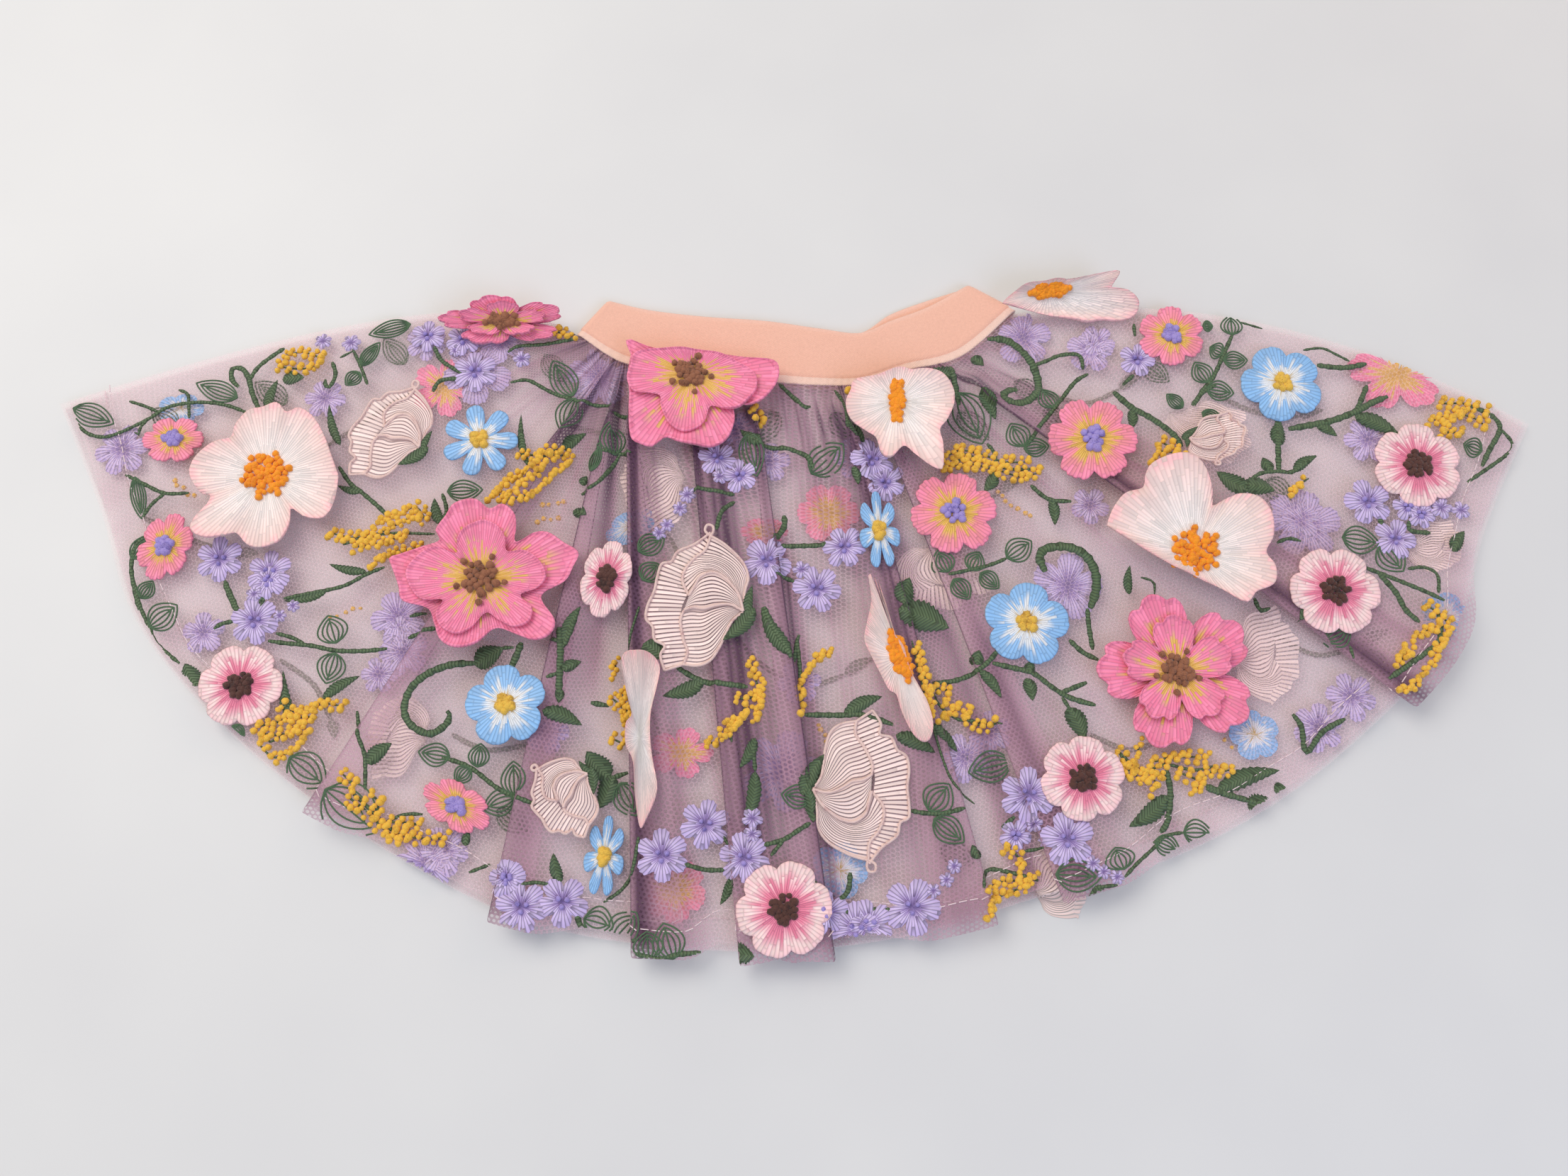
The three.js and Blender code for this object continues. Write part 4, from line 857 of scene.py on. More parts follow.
# Blossoms on the front, as the solids have them: place, reach, turn in degrees, the share left of the
# width where one lies folded, and how far its far side stands up
flowers = {
    "rose": [(-119, -1, 36, 10, 1, 0), (-39, 84, 31, 20, 1, 0), (153, -37, 32, 5, 1, 0),
        (-117, 112, 27, 0, 0.36, 9)],
    "white": [(-210, 43, 31, 15, 1, 0), (47, 70, 22, 40, 0.95, 0), (164, 22, 33, 30, 0.9, 3),
        (121, 118, 27, 8, 0.32, 10), (-56, -64, 34, 90, 0.2, 8), (44, -38, 33, 108, 0.34, 7)],
    "bell": [(-160, 65, 21, 215, 1, 0), (-33, -7, 27, 155, 1, 0), (29, -85, 27, 20, 1, 0),
        (-84, -85, 18, 200, 0.8, 0), (176, 60, 17, 150, 0.6, 0)],
    "anemone": [(-212, -42, 16.5, 0, 1, 0), (-70, 0, 16, 80, 0.62, 0), (114, -79, 16.5, 20, 1, 0),
        (0, -128, 18, 10, 1, 0), (217, -5, 18, 0, 1, 0), (258, 50, 18, 25, 1, 0)],
    "aster": [(-250, 61, 13, 0, 0.8, 0), (-248, 15, 14.5, 75, 0.75, 0), (-125, -89, 15, 150, 0.6, 0),
        (125, 59, 18.5, 0, 1, 0), (68, 28, 18, 15, 1, 0), (162, 108, 14.5, 30, 0.95, 0)],
    "blue": [(-124, 60, 15.5, 0, 1, 0), (-107, -51, 16, 30, 1, 0), (-68, -108, 15.5, 85, 0.5, 0),
        (38, 20, 16.5, 95, 0.5, 0), (95, -18, 17, 10, 1, 0), (206, 86, 17, 40, 1, 0)],
}
knots = {"brown": [], "orange": [], "darkBrown": [], "lilac": [], "yellow": [], "mimosa": []}


# Flat coordinates turned and set at a place
def turnPlan(u, v, spin, x=0, y=0):
    return np.stack([x + u * math.cos(spin) - v * math.sin(spin),
                     y + u * math.sin(spin) + v * math.cos(spin)], axis=-1)


blossomFollow = 0.7  # share of the ground's rise that a rim follows


# Where a blossom's own coordinates end up: it leans with what it lies on, but stays stiff
def flowerPlace(trees, flower):
    x, y, reach, turn, narrow, lift = flower
    spin = math.radians(turn)
    around = np.linspace(0, 2 * math.pi, 25)[:-1]

    def toPlan(u, v):
        return turnPlan(u, v * narrow, spin, x, y)

    foot = groundAt(trees, np.array([[x, y]], float))[0]
    rims = groundAt(trees, toPlan(0.8 * reach * np.cos(around), 0.8 * reach * np.sin(around)))
    rims = np.where(np.isfinite(rims), rims, foot)
    rims = (np.roll(rims, 1) + 2 * rims + np.roll(rims, -1)) / 4
    middle = rims.mean()

    def place(plan, heights):
        u, v = plan[..., 0], plan[..., 1]
        angle = np.arctan2(v, u) % (2 * math.pi)
        rim = np.interp(angle, around, rims, period=2 * math.pi) - middle
        bend = np.hypot(u, v) / reach * blossomFollow * rim
        up = middle + bend + heights + lift * (1 + v / reach) / 2
        return np.concatenate([toPlan(u, v), up[..., None]], axis=-1), np.ones(u.shape, bool)

    return place


# The outline of a drawn edge from its heart, in a blossom's own coordinates
def drawnOutline(key, flower):
    x, y, reach, turn, narrow, lift = flower
    spin = math.radians(turn)
    edge = np.array(drawnEdges[key], float)
    own = turnPlan(edge[:, 0], edge[:, 1], -spin) / (1, narrow)
    heart = own[0]
    loop = np.concatenate([own[1:], own[1:2]]) - heart
    loop = smoothLine(loop, 160)
    angles = np.arctan2(loop[:, 1], loop[:, 0]) % (2 * math.pi)
    radii = np.hypot(loop[:, 0], loop[:, 1]) / reach
    order = np.argsort(angles)

    def outline(angle):
        return np.interp(angle, angles[order], radii[order], period=2 * math.pi)

    return outline, heart


def shifted(place, heart):
    return lambda plan, heights: place(plan + heart, heights)


def centreKnots(rng, place, reach, count, spread, size, up, arms=0, armReach=0.3, turn=0.0, squeeze=None):
    spots, sizes = [], []
    for index in range(count):
        radius = reach * spread * math.sqrt((index + 0.3) / count)
        angle = index * 2.4 + rng.uniform(-0.3, 0.3)
        spots.append((radius * math.cos(angle), radius * math.sin(angle)))
        sizes.append(size * rng.uniform(0.85, 1.15))
    for arm in range(arms):
        angle = turn + 2 * math.pi * arm / arms + rng.uniform(-0.15, 0.15)
        spots.append((reach * armReach * math.cos(angle), reach * armReach * math.sin(angle)))
        sizes.append(size * rng.uniform(0.85, 1.1))
    spots = np.array(spots)
    if squeeze is not None:
        wide, tall, spin = squeeze
        spots = turnPlan(spots[:, 0] * wide, spots[:, 1] * tall, -spin)
    points, inside = place(spots[None], np.full((1, len(spots)), up))
    return np.column_stack([points[0], sizes])


# Rings from a blossom's heart to its rim, and the heights that a few of them have
petalRings = {
    "rose": [0, 0.12, 0.25, 0.4, 0.52, 0.64, 0.74, 0.83, 0.9, 0.945, 0.965, 0.985, 1.0],
    "white": [0, 0.12, 0.25, 0.4, 0.52, 0.64, 0.74, 0.83, 0.9, 0.95, 0.98, 1.0],
    "flat": [0, 0.15, 0.3, 0.45, 0.6, 0.75, 0.88, 0.94, 0.98, 1.0],
}
roseBead = ([0.9, 0.945, 0.965, 0.985, 1], [0, -0.3, 0.35, 0.4, -0.1])
roseLayers = [
    {"share": 1.0, "turn": 30, "heights": [3.2, 2.7, 3.6, 4.6], "foot": 0},
    {"share": 0.7, "turn": 16, "heights": [4.2, 4.0, 4.9, 6.1], "foot": 3.0},
]
whiteHeights = ([0, 0.28, 0.65, 1], [3.4, 3.2, 4.4, 6.0])
whiteUnder = [(1.0, 5.0), (0.8, 3.6), (0.4, 0), (0, 0)]
flatHeights = ([0, 0.3, 0.88, 0.96, 1], [1.6, 1.5, 1.1, 1.25, 0.8])
flatUnder = [(1.0, 0.15), (0, 0)]
# Knots in a flat blossom's heart: colour, how many, their spread as a share, their size and height
flatHearts = {
    "anemone": ("darkBrown", 26, 0.3, 1.5, 1.6), "aster": ("lilac", 12, 0.26, 1.7, 1.8),
    "blue": ("yellow", 12, 0.2, 1.7, 1.8),
}
petalCounts = {"rose": 5, "anemone": 6, "aster": 6, "blue": 5}
sevenPetals = (0, 2, 3)  # the blue blossoms that have seven narrow petals


def roseForm(shape, place, reach, rng, flower, number):
    heart = np.zeros(2)
    rings = petalRings["rose"]
    for index, layer in enumerate(roseLayers):
        angle = np.linspace(0, 2 * math.pi, 161)
        turn, share = math.radians(layer["turn"]), layer["share"]
        outline = petalled(petalCounts["rose"], petalEdges["rose"], turn)
        if ("rose", number, index) in drawnEdges:
            outline, heart = drawnOutline(("rose", number, index), flower)
            share = 1.0
        base = np.interp(rings, [0, 0.3, 0.72, 1], layer["heights"])
        petal = np.cos(5 * (angle - turn))
        wave = 0.55 * petal + 0.5 * np.sin(2 * angle + index * 2 + rng.uniform(0, 6))
        cup = np.array(rings)[:, None] ** 2 * wave
        heights = (base + np.interp(rings, *roseBead))[:, None] + cup
        rim, foot = float(base[-1]) - 0.9, layer["foot"]
        under = [(1.0, rim), (0.8, rim - 1.0), (0.45, foot), (0, foot)]
        rosette(shape, shifted(place, heart), reach * share, outline, rings, heights, under, 160, crease=1.0)
    hearted = shifted(place, heart)
    knots["brown"].append(centreKnots(rng, hearted, reach, 28, 0.19, 1.5, 4.5, 5, 0.27, math.radians(50)))


def whiteForm(shape, place, reach, rng, flower, number):
    angle = np.linspace(0, 2 * math.pi, 141)
    rings = petalRings["white"]
    base = np.interp(rings, *whiteHeights)
    wave = 0.7 * np.cos(5 * angle) + 0.6 * np.sin(2 * angle + rng.uniform(0, 6))
    cup = np.array(rings)[:, None] ** 2 * wave
    outline, heart = drawnOutline(("white", number, 0), flower)
    hearted = shifted(place, heart)
    rosette(shape, hearted, reach, outline, rings, base[:, None] + cup, whiteUnder, 140, crease=0.8)
    if number != 4:
        squeeze = (0.4, 1.5, math.radians(flower[3])) if number == 1 else None
        heartKnots = centreKnots(rng, hearted, reach, 62, 0.27, 1.45, 3.7, 6, 0.31, squeeze=squeeze)
        knots["orange"].append(heartKnots)


def flatForm(shape, place, reach, rng, kind, number):
    petals, edge = petalCounts[kind], petalEdges[kind]
    if kind == "blue" and number in sevenPetals:
        petals, edge = 7, petalEdges["narrow"]
    heights = np.interp(petalRings["flat"], *flatHeights)
    rosette(shape, place, reach, petalled(petals, edge), petalRings["flat"], heights, flatUnder, crease=0.4)
    colour, *heart = flatHearts[kind]
    knots[colour].append(centreKnots(rng, place, reach, *heart))


# A sheet of ribs between two lines, with a third line where the ribs end
def ribSheet(shape, place, reach, first, last, end, height, rungs=False):
    steps, ribs = 29, 25
    a, b = smoothLine(first, steps) * reach, smoothLine(last, steps) * reach
    s, t = np.linspace(0, 1, ribs)[:, None, None], np.linspace(0, 1, steps)[None, :, None]
    plan = mix(a[None], b[None], s)
    if end is not None:
        close = smoothLine(end, ribs) * reach
        plan = plan + t * (close[:, None] - plan[:, -1:, :])
    dome = (height * np.ones((ribs, steps, 1)) + 0.5 * np.sin(math.pi * s) * np.sin(math.pi * t))[..., 0]
    points, inside = place(plan, dome)
    alongWay = wayAlong(a + b) / 2
    width = np.linalg.norm(plan[-1] - plan[0], axis=-1).max()
    uv = np.stack(np.broadcast_arrays(s[..., 0] * round(width / bell["ribPitch"]) * bell["ribPitch"],
                                      alongWay[None]), axis=-1)
    if rungs:
        uv = uv[..., ::-1] * np.array([0.9, 1.0])
    faces = gridFaces(ribs, steps)
    addFaces(shape, points, faces, uv, np.full(points.shape[:2], 0.5))


def bellSheets(shape, place, reach, plate, crown, frill):
    sheets = (("top", "frontTop", "rimTop", plate), ("frontLow", "bottom", "rimLow", plate),
              ("frontTop", "frontLow", "frontEnd", crown))
    for first, last, end, height in sheets:
        ribSheet(shape, place, reach, bellLines[first], bellLines[last], bellLines[end], height)
    ribSheet(shape, place, reach, bellLines["frill"], bellLines["rim"], None, frill, rungs=True)


def bellForm(shape, place, reach):
    bellSheets(shape, place, reach, bell["plate"], bell["crown"], bell["plate"] * 0.7)
    for name in ("top", "frontTop", "frontLow", "bottom", "rimTop", "rimLow", "frill", "tip", "end"):
        raised = bell["crown"] if name.startswith("front") else bell["plate"]
        cord = smoothLine(bellLines[name], max(4, int(len(bellLines[name]) * reach / 5))) * reach
        bellCords.append(place(cord, np.full(len(cord), raised + 0.25))[0])
    for base, tip, width in bell["calyx"]:
        leaf(calyxes, place, np.array(base) * reach, np.array(tip) * reach, width * reach, bell["crown"])


def axesOf(base, tip):
    base, tip = np.array(base, float), np.array(tip, float)
    length = np.linalg.norm(tip - base)
    onward = (tip - base) / length
    return base, length, onward, np.array([-onward[1], onward[0]])


# A satin leaf with slanted threads on both sides of its vein
def leaf(shape, place, base, tip, width, height):
    base, length, onward, sideways = axesOf(base, tip)
    t, s = np.linspace(0, 1, 21)[:, None], np.linspace(-1, 1, 9)[None, :]
    teeth = 1 + 0.1 * np.cos(math.pi * np.arange(21))[:, None]
    half = width / 2 * np.sin(math.pi * t ** 0.8) ** 0.75 * (1 - 0.25 * t) * teeth
    bend = 0.06 * length * np.sin(math.pi * t)
    plan = base + t[..., None] * length * onward + (s * half + bend)[..., None] * sideways
    crown = height + 0.3 * (1 - s ** 2) - 0.25 * np.exp(-(s / 0.15) ** 2) + 0 * t
    points, inside = place(plan, crown)
    uv = np.stack([t * length + 0.8 * np.abs(s * half), np.abs(s * half)], axis=-1)
    addFaces(shape, points, gridFaces(21, 9)[:, ::-1], uv, np.broadcast_to(np.abs(s), (21, 9)), inside)


calyxes = newShape()
bellCords = []
rng = np.random.default_rng(5)
bandTree = BVHTree.FromPolygons(np.concatenate(bandShape["points"]).tolist(),
                                np.concatenate(bandShape["faces"]).tolist())
restTrees = [(None, netFront["tree"]), (None, bandTree)]
blossoms = {kind: newShape() for kind in flowers}
clearance = 0.3  # between a blossom and what it lies on


def closeBy(flower, other):
    if other is None:
        return True
    apart = math.hypot(flower[0] - other[0], flower[1] - other[1])
    return apart < 1.3 * (flower[2] + other[2])


for kind, places in flowers.items():
    for number, flower in enumerate(places):
        trees = [tree for other, tree in restTrees if closeBy(flower, other)]
        if kind == "bell":
            flower = flower[:3] + (bellTurns[number],) + flower[4:]
        place = flowerPlace(trees, flower)
        own, reach = newShape(), flower[2]
        loose = [*knots.values(), bellCords, calyxes["points"]]
        marks = [len(parts) for parts in loose]
        if kind == "rose":
            roseForm(own, place, reach, rng, flower, number)
        elif kind == "white":
            whiteForm(own, place, reach, rng, flower, number)
        elif kind == "bell":
            bellForm(own, place, reach)
        else:
            flatForm(own, place, reach, rng, kind, number)
        points, faces = np.concatenate(own["points"]), np.concatenate(own["faces"])
        rise = clearance - np.min(points[::2, 2] - groundAt(trees, points[::2, :2]))
        points[:, 2] += rise
        for parts, mark in zip(loose, marks):
            for part in parts[mark:]:
                part[:, 2] += rise
        addFaces(blossoms[kind], points, faces, np.concatenate(own["uv"]), np.concatenate(own["reach"]))
        restTrees.append((flower, BVHTree.FromPolygons(points.tolist(), faces.tolist())))

threads = {
    "rose": ("roses, satin-stitched rayon", [
        (0, "#ffbe54"), (0.44, "#ffca6e"), (0.54, "#ffb09e"), (0.62, "#ff92b0"), (0.84, "#ff86aa"),
        (1, "#ff90b2")]),
    "white": ("white blossoms, satin-stitched rayon", [
        (0, "#f8f2e8"), (0.35, "#fff6f1"), (0.7, "#ffe8e1"), (0.93, "#ffdad3"), (1, "#ffc6c6")]),
    "bell": ("bells, openwork in rayon", [(0, "#ffe2da"), (1, "#ffe6de")]),
    "anemone": ("anemones, satin-stitched rayon", [
        (0, "#f0749a"), (0.48, "#fd8fab"), (0.64, "#fdb8c4"), (0.82, "#ffe0dc"), (1, "#ffd0d2")]),
    "aster": ("asters, satin-stitched rayon", [
        (0, "#f6b64a"), (0.42, "#ffcb62"), (0.6, "#ff9aa0"), (1, "#ff92b0")]),
    "blue": ("blue blossoms, satin-stitched rayon", [
        (0, "#f2c860"), (0.22, "#ffffff"), (0.46, "#f6faff"), (0.64, "#9cc8f4"), (1, "#8fbfee")]),
}
# How far the colours reach past each other, and how dark the painted shade in the gap between two strands is
ragged = {"rose": 0.5, "white": 0.14, "bell": 0.3, "anemone": 0.3, "aster": 0.3, "blue": 0.4}
gapShades = {"rose": 0.2, "white": 0.12, "bell": 0.12, "anemone": 0.28, "aster": 0.28, "blue": 0.28}
blossomPieces = {}
threadLooks = {}
for kind, (words, stops) in threads.items():
    openwork = {"pitch": 1.6, "openwork": True, "stitch": 30.0} if kind == "bell" else {}
    threadLooks[kind] = rayonThread(words, stops, ragged=ragged[kind], gapShade=gapShades[kind], **openwork)
    blossomPieces[kind] = finishPiece(kind + "Blossoms", blossoms[kind], threadLooks[kind])
print("blossoms made")


# Stitching on the front, in plan: stems as a width and the points they pass
stems = [
    (1.6, [(-292, 70), (-287, 65), (-280, 63), (-273, 65), (-262, 71), (-255, 76), (-246, 78), (-237, 78),
    (-228, 76), (-219, 72)]), (1.4, [(-271, 79), (-265, 77), (-258, 74)]), (1.4, [(-251, 84), (-247, 82),
    (-246, 77), (-245, 71)]), (1.4, [(-262, 71), (-265, 67), (-265, 64), (-267, 65)]), (2.2, [(-216, 74),
    (-220, 82), (-222, 88), (-225, 93), (-229, 94), (-230, 92), (-229, 88), (-226, 85)]), (2.0, [(-222, 88),
    (-219, 94), (-214, 99), (-209, 103)]), (1.8, [(-188, 96), (-186, 90), (-188, 84), (-190, 86),
    (-190, 88)]), (1.4, [(-172, 85), (-176, 94), (-180, 102)]), (1.2, [(-185, 98), (-180, 101)]), (1.8,
    [(-146, 103), (-142, 96), (-133, 90)]), (1.8, [(-145, 82), (-142, 87), (-133, 88)]), (1.8, [(-181, 49),
    (-176, 42), (-171, 38), (-163, 31), (-158, 26)]), (1.6, [(-138, 37), (-136, 30), (-138, 24)]), (1.2,
    [(-176, 15), (-167, 18), (-156, 20), (-140, 20)]), (1.6, [(-198, -7), (-188, -5), (-175, -2), (-166, 3),
    (-159, 6)]), (1.8, [(-223, 0), (-220, -6), (-216, -13)]), (1.4, [(-205, -3), (-207, -11)]), (1.6,
    [(-268, 46), (-260, 42), (-251, 38), (-241, 38)]), (1.6, [(-251, 38), (-256, 33), (-259, 27)]), (1.8,
    [(-255, 20), (-260, 16), (-261, 7), (-259, -2), (-256, -11)]), (1.6, [(-115, 100), (-111, 103),
    (-100, 104), (-86, 107)]), (1.6, [(-113, 86), (-106, 87), (-98, 83), (-91, 80), (-82, 77), (-71, 76)]),
    (1.6, [(-82, 37), (-75, 41), (-70, 48), (-67, 54)]), (1.8, [(-74, 55), (-62, 54)]), (1.8, [(-71, 72),
    (-63, 70)]), (1.8, [(-40, 39), (-30, 38), (-20, 37)]), (1.8, [(-20, 34), (-25, 29), (-27, 21)]), (2.0,
    [(-17, 63), (-8, 58), (1, 57), (9, 54), (12, 48)]), (1.8, [(-2, 86), (2, 82), (8, 76), (11, 76)]), (2.4,
    [(0, 28), (0, 23), (-4, 17)]), (2.0, [(-2, 15), (8, 15), (18, 16)]), (1.8, [(-3, 3), (4, 0)]), (1.6,
    [(-68, 8), (-63, 11)]), (3.2, [(85, 107), (93, 106), (99, 101), (104, 92), (105, 83), (100, 77),
    (94, 76), (90, 79), (93, 82), (96, 82)]), (1.8, [(104, 94), (109, 96), (115, 99), (123, 99),
    (124, 92)]), (1.6, [(147, 114), (147, 108)]), (1.8, [(145, 90), (140, 85)]), (2.4, [(69, 94), (71, 85),
    (72, 76)]), (1.6, [(83, 59), (86, 54), (85, 45)]), (1.4, [(71, 55), (81, 52), (92, 48), (102, 48)]),
    (1.8, [(100, 41), (107, 35), (116, 34)]), (1.8, [(126, 90), (120, 86), (111, 74), (104, 65), (99, 58)]),
    (2.8, [(136, 82), (143, 75), (151, 70), (159, 63), (162, 57)]), (1.8, [(168, 76), (173, 82),
    (179, 86)]), (1.6, [(65, 2), (73, 4), (80, 6), (89, 10)]), (3.6, [(104, 4), (102, 10), (105, 14),
    (113, 15), (120, 12), (124, 5), (124, -3), (121, -11)]), (1.8, [(26, 65), (25, 76), (21, 83)]), (1.8,
    [(188, 109), (184, 101), (178, 89), (173, 83), (169, 76)]), (1.0, [(192, 115), (201, 112)]), (1.2,
    [(217, 102), (225, 103), (231, 100), (236, 97)]), (2.4, [(222, 95), (233, 94), (243, 96)]), (2.8, [(207,
    66), (217, 68), (226, 70), (236, 74), (243, 78), (250, 81)]), (2.2, [(236, 74), (239, 80), (242, 86)]),
    (2.4, [(203, 70), (202, 61), (201, 47)]), (1.8, [(189, 43), (194, 46), (201, 47), (207, 47),
    (217, 54)]), (0.9, [(205, 37), (210, 42), (213, 44)]), (2.2, [(284, 77), (292, 73), (295, 67),
    (289, 57), (285, 50)]), (1.6, [(295, 67), (299, 61), (298, 57), (290, 51), (278, 43)]), (2.2, [(240,
    28), (241, 22)]), (2.0, [(252, 26), (252, 22), (260, 21)]), (1.6, [(196, 15), (201, 17), (206, 16)]),
    (1.6, [(248, 5), (255, 6), (260, 3), (259, -5)]), (1.6, [(-259, 0), (-256, -9), (-251, -18),
    (-247, -25), (-237, -33)]), (1.8, [(-223, 1), (-218, -8), (-215, -14)]), (1.4, [(-205, -3),
    (-208, -9)]), (1.8, [(-225, -19), (-222, -17), (-217, -16)]), (1.8, [(-203, -24), (-196, -25),
    (-186, -26), (-176, -28), (-165, -28), (-156, -27)]), (1.6, [(-200, -21), (-193, -23), (-188, -26)]),
    (1.0, [(-201, -61), (-199, -64), (-194, -61)]), (1.6, [(-166, -52), (-164, -62), (-161, -70),
    (-160, -83)]), (1.4, [(-166, -83), (-157, -91), (-152, -96), (-146, -100)]), (1.4, [(-152, -95),
    (-145, -92), (-138, -92)]), (1.4, [(-119, -114), (-111, -111)]), (1.8, [(-148, -23), (-143, -21),
    (-136, -20)]), (1.6, [(-148, -14), (-144, -13), (-141, -13)]), (2.8, [(-121, -33), (-130, -34),
    (-139, -38), (-145, -44), (-147, -52), (-144, -58), (-137, -61), (-131, -57), (-130, -53),
    (-131, -52)]), (2.8, [(-103, -25), (-105, -31), (-107, -36)]), (1.6, [(-111, -27), (-106, -27)]), (1.8,
    [(-132, -70), (-121, -74), (-110, -82), (-102, -86), (-94, -89)]), (2.6, [(-88, -20), (-87, -29),
    (-87, -38), (-87, -48)]), (1.8, [(-81, -12), (-83, -20), (-86, -28)]), (1.6, [(-92, -24), (-87, -26)]),
    (1.6, [(-92, -40), (-87, -38)]), (2.2, [(-75, -49), (-68, -50)]), (1.0, [(-57, -11), (-60, -22),
    (-61, -29)]), (2.0, [(-66, -78), (-60, -76)]), (2.2, [(-42, -35), (-33, -40), (-25, -42), (-14, -43)]),
    (1.2, [(-20, -65), (-20, -61), (-14, -50)]), (1.6, [(-12, -64), (-11, -76)]), (1.8, [(-38, -111),
    (-30, -113), (-22, -113)]), (1.4, [(-24, -99), (-21, -104)]), (1.8, [(-8, -104), (0, -102), (5, -99),
    (10, -96)]), (1.6, [(0, -102), (-5, -108)]), (2.2, [(8, -54), (17, -54), (23, -54), (30, -54),
    (42, -58)]), (1.6, [(5, -24), (6, -33), (7, -49)]), (2.4, [(-8, -11), (-4, -20), (4, -33)]), (1.6, [(4,
    -33), (5, -25), (6, -22)]), (1.4, [(-100, -119), (-93, -118), (-87, -119)]), (1.4, [(-55, -101),
    (-57, -113), (-61, -120), (-68, -125)]), (2.2, [(-78, -126), (-76, -134), (-68, -139), (-60, -140),
    (-55, -139)]), (2.0, [(-55, -144), (-46, -146), (-37, -144), (-21, -144)]), (2.0, [(25, -114),
    (24, -121), (19, -126)]), (2.0, [(20, -129), (29, -128), (41, -128)]), (2.0, [(58, -41), (67, -40),
    (75, -37), (80, -33), (84, -28)]), (1.2, [(57, -42), (60, -49), (67, -55), (73, -56), (84, -58)]), (2.2,
    [(81, -34), (89, -36), (97, -38), (104, -43), (111, -47), (121, -50)]), (2.0, [(108, -45), (118, -41)]),
    (1.8, [(108, -47), (111, -52)]), (2.0, [(112, -24), (117, -29), (123, -32)]), (2.0, [(120, -11),
    (120, -18), (121, -28)]), (1.8, [(48, -91), (54, -92), (61, -92), (69, -90)]), (1.0, [(50, -25),
    (57, -57), (61, -72), (65, -81), (73, -88)]), (1.8, [(88, -93), (83, -97)]), (1.4, [(91, -106),
    (98, -105)]), (1.2, [(128, -67), (137, -75), (147, -73), (158, -75), (167, -73)]), (2.4, [(147, -75),
    (148, -84), (146, -95), (143, -99)]), (2.2, [(162, -81), (175, -86)]), (1.4, [(144, -101), (140, -105),
    (133, -111), (128, -116)]), (1.4, [(140, -103), (146, -100), (152, -99)]), (1.4, [(116, -120),
    (125, -119)]), (1.6, [(75, -120), (77, -113), (86, -114), (96, -117)]), (1.0, [(142, 2), (147, 0),
    (147, -5)]), (1.8, [(186, -7), (188, -12), (192, -11)]), (1.8, [(229, 6), (239, 2), (253, -4),
    (261, -8)]), (2.4, [(236, 3), (242, -5), (245, -12), (250, -17)]), (1.4, [(221, -27), (222, -32)]),
    (2.2, [(258, -13), (257, -24), (247, -32), (235, -40)]), (2.2, [(198, -53), (201, -58), (202, -68),
    (209, -60), (218, -55)]), (2.2, [(162, -82), (168, -84), (179, -87), (187, -90)])]
# Satin leaves and leaves that are only outlined, as a width, the foot and the tip
satinLeaves = [
    (4, (-181, 58), (-187, 76)), (3.5, (-171, 38), (-181, 41)), (3, (-137, 24), (-141, 35)), (4, (-181, -4),
    (-198, -8)), (4, (-166, 4), (-181, 7)), (5, (-213, 74), (-210, 88)), (7, (-208, 88), (-199, 89)), (3.5,
    (-104, 49), (-108, 72)), (5, (-90, 56), (-81, 64)), (5, (-85, 30), (-79, 27)), (4, (-82, 41),
    (-80, 45)), (5, (-138, 24), (-141, 35)), (5, (-8, 58), (-18, 65)), (8, (71, 91), (54, 91)), (6,
    (78, 98), (83, 94)), (6, (81, 82), (87, 70)), (5, (108, 35), (109, 24)), (6, (86, 46), (81, 38)), (5,
    (143, 74), (142, 65)), (4, (137, -5), (138, 7)), (9, (47, -10), (50, 2)), (5, (26, 68), (33, 59)), (4,
    (28, 48), (30, 40)), (5, (219, 68), (227, 63)), (8, (235, 72), (253, 63)), (7, (202, 58), (204, 70)),
    (5, (207, 47), (217, 54)), (6, (198, 47), (195, 53)), (9, (188, 38), (175, 46)), (9, (185, 40),
    (198, 38)), (6, (268, 13), (274, 22)), (5, (-191, -56), (-196, -36)), (5, (-180, -47), (-166, -38)), (9,
    (-229, -42), (-235, -33)), (7, (-160, -73), (-151, -65)), (10, (-121, -34), (-110, -27)), (4,
    (-121, -104), (-120, -98)), (5, (-86, -26), (-80, -11)), (5, (-86, -37), (-79, -33)), (4, (-87, -44),
    (-87, -50)), (7, (-93, -53), (-78, -58)), (11, (-67, -78), (-76, -68)), (9, (-66, -77), (-71, -90)), (7,
    (-31, -40), (-47, -47)), (10, (-55, -26), (-47, -32)), (5, (-11, -63), (-17, -75)), (6, (-11, -76),
    (-15, -97)), (4, (-20, -116), (-24, -126)), (9, (9, -81), (18, -72)), (8, (10, -84), (11, -96)), (6,
    (23, -54), (38, -47)), (7, (3, -31), (-9, -11)), (5, (-84, -118), (-87, -107)), (10, (-21, -145),
    (-11, -145)), (4, (13, -121), (7, -113)), (6, (24, -53), (38, -47)), (7, (43, -62), (58, -69)), (5,
    (76, -37), (84, -48)), (6, (75, -35), (76, -29)), (5, (95, -38), (97, -33)), (6, (94, -40), (96, -49)),
    (9, (110, -51), (116, -64)), (14, (45, -12), (65, -19)), (5, (57, -58), (67, -68)), (8, (147, -85),
    (131, -97)), (10, (114, -123), (122, -125)), (5, (74, -109), (71, -104)), (5, (206, -10), (202, -17)),
    (8, (166, -83), (191, -75)), (12, (178, -92), (188, -87)), (6, (188, -83), (193, -82))]
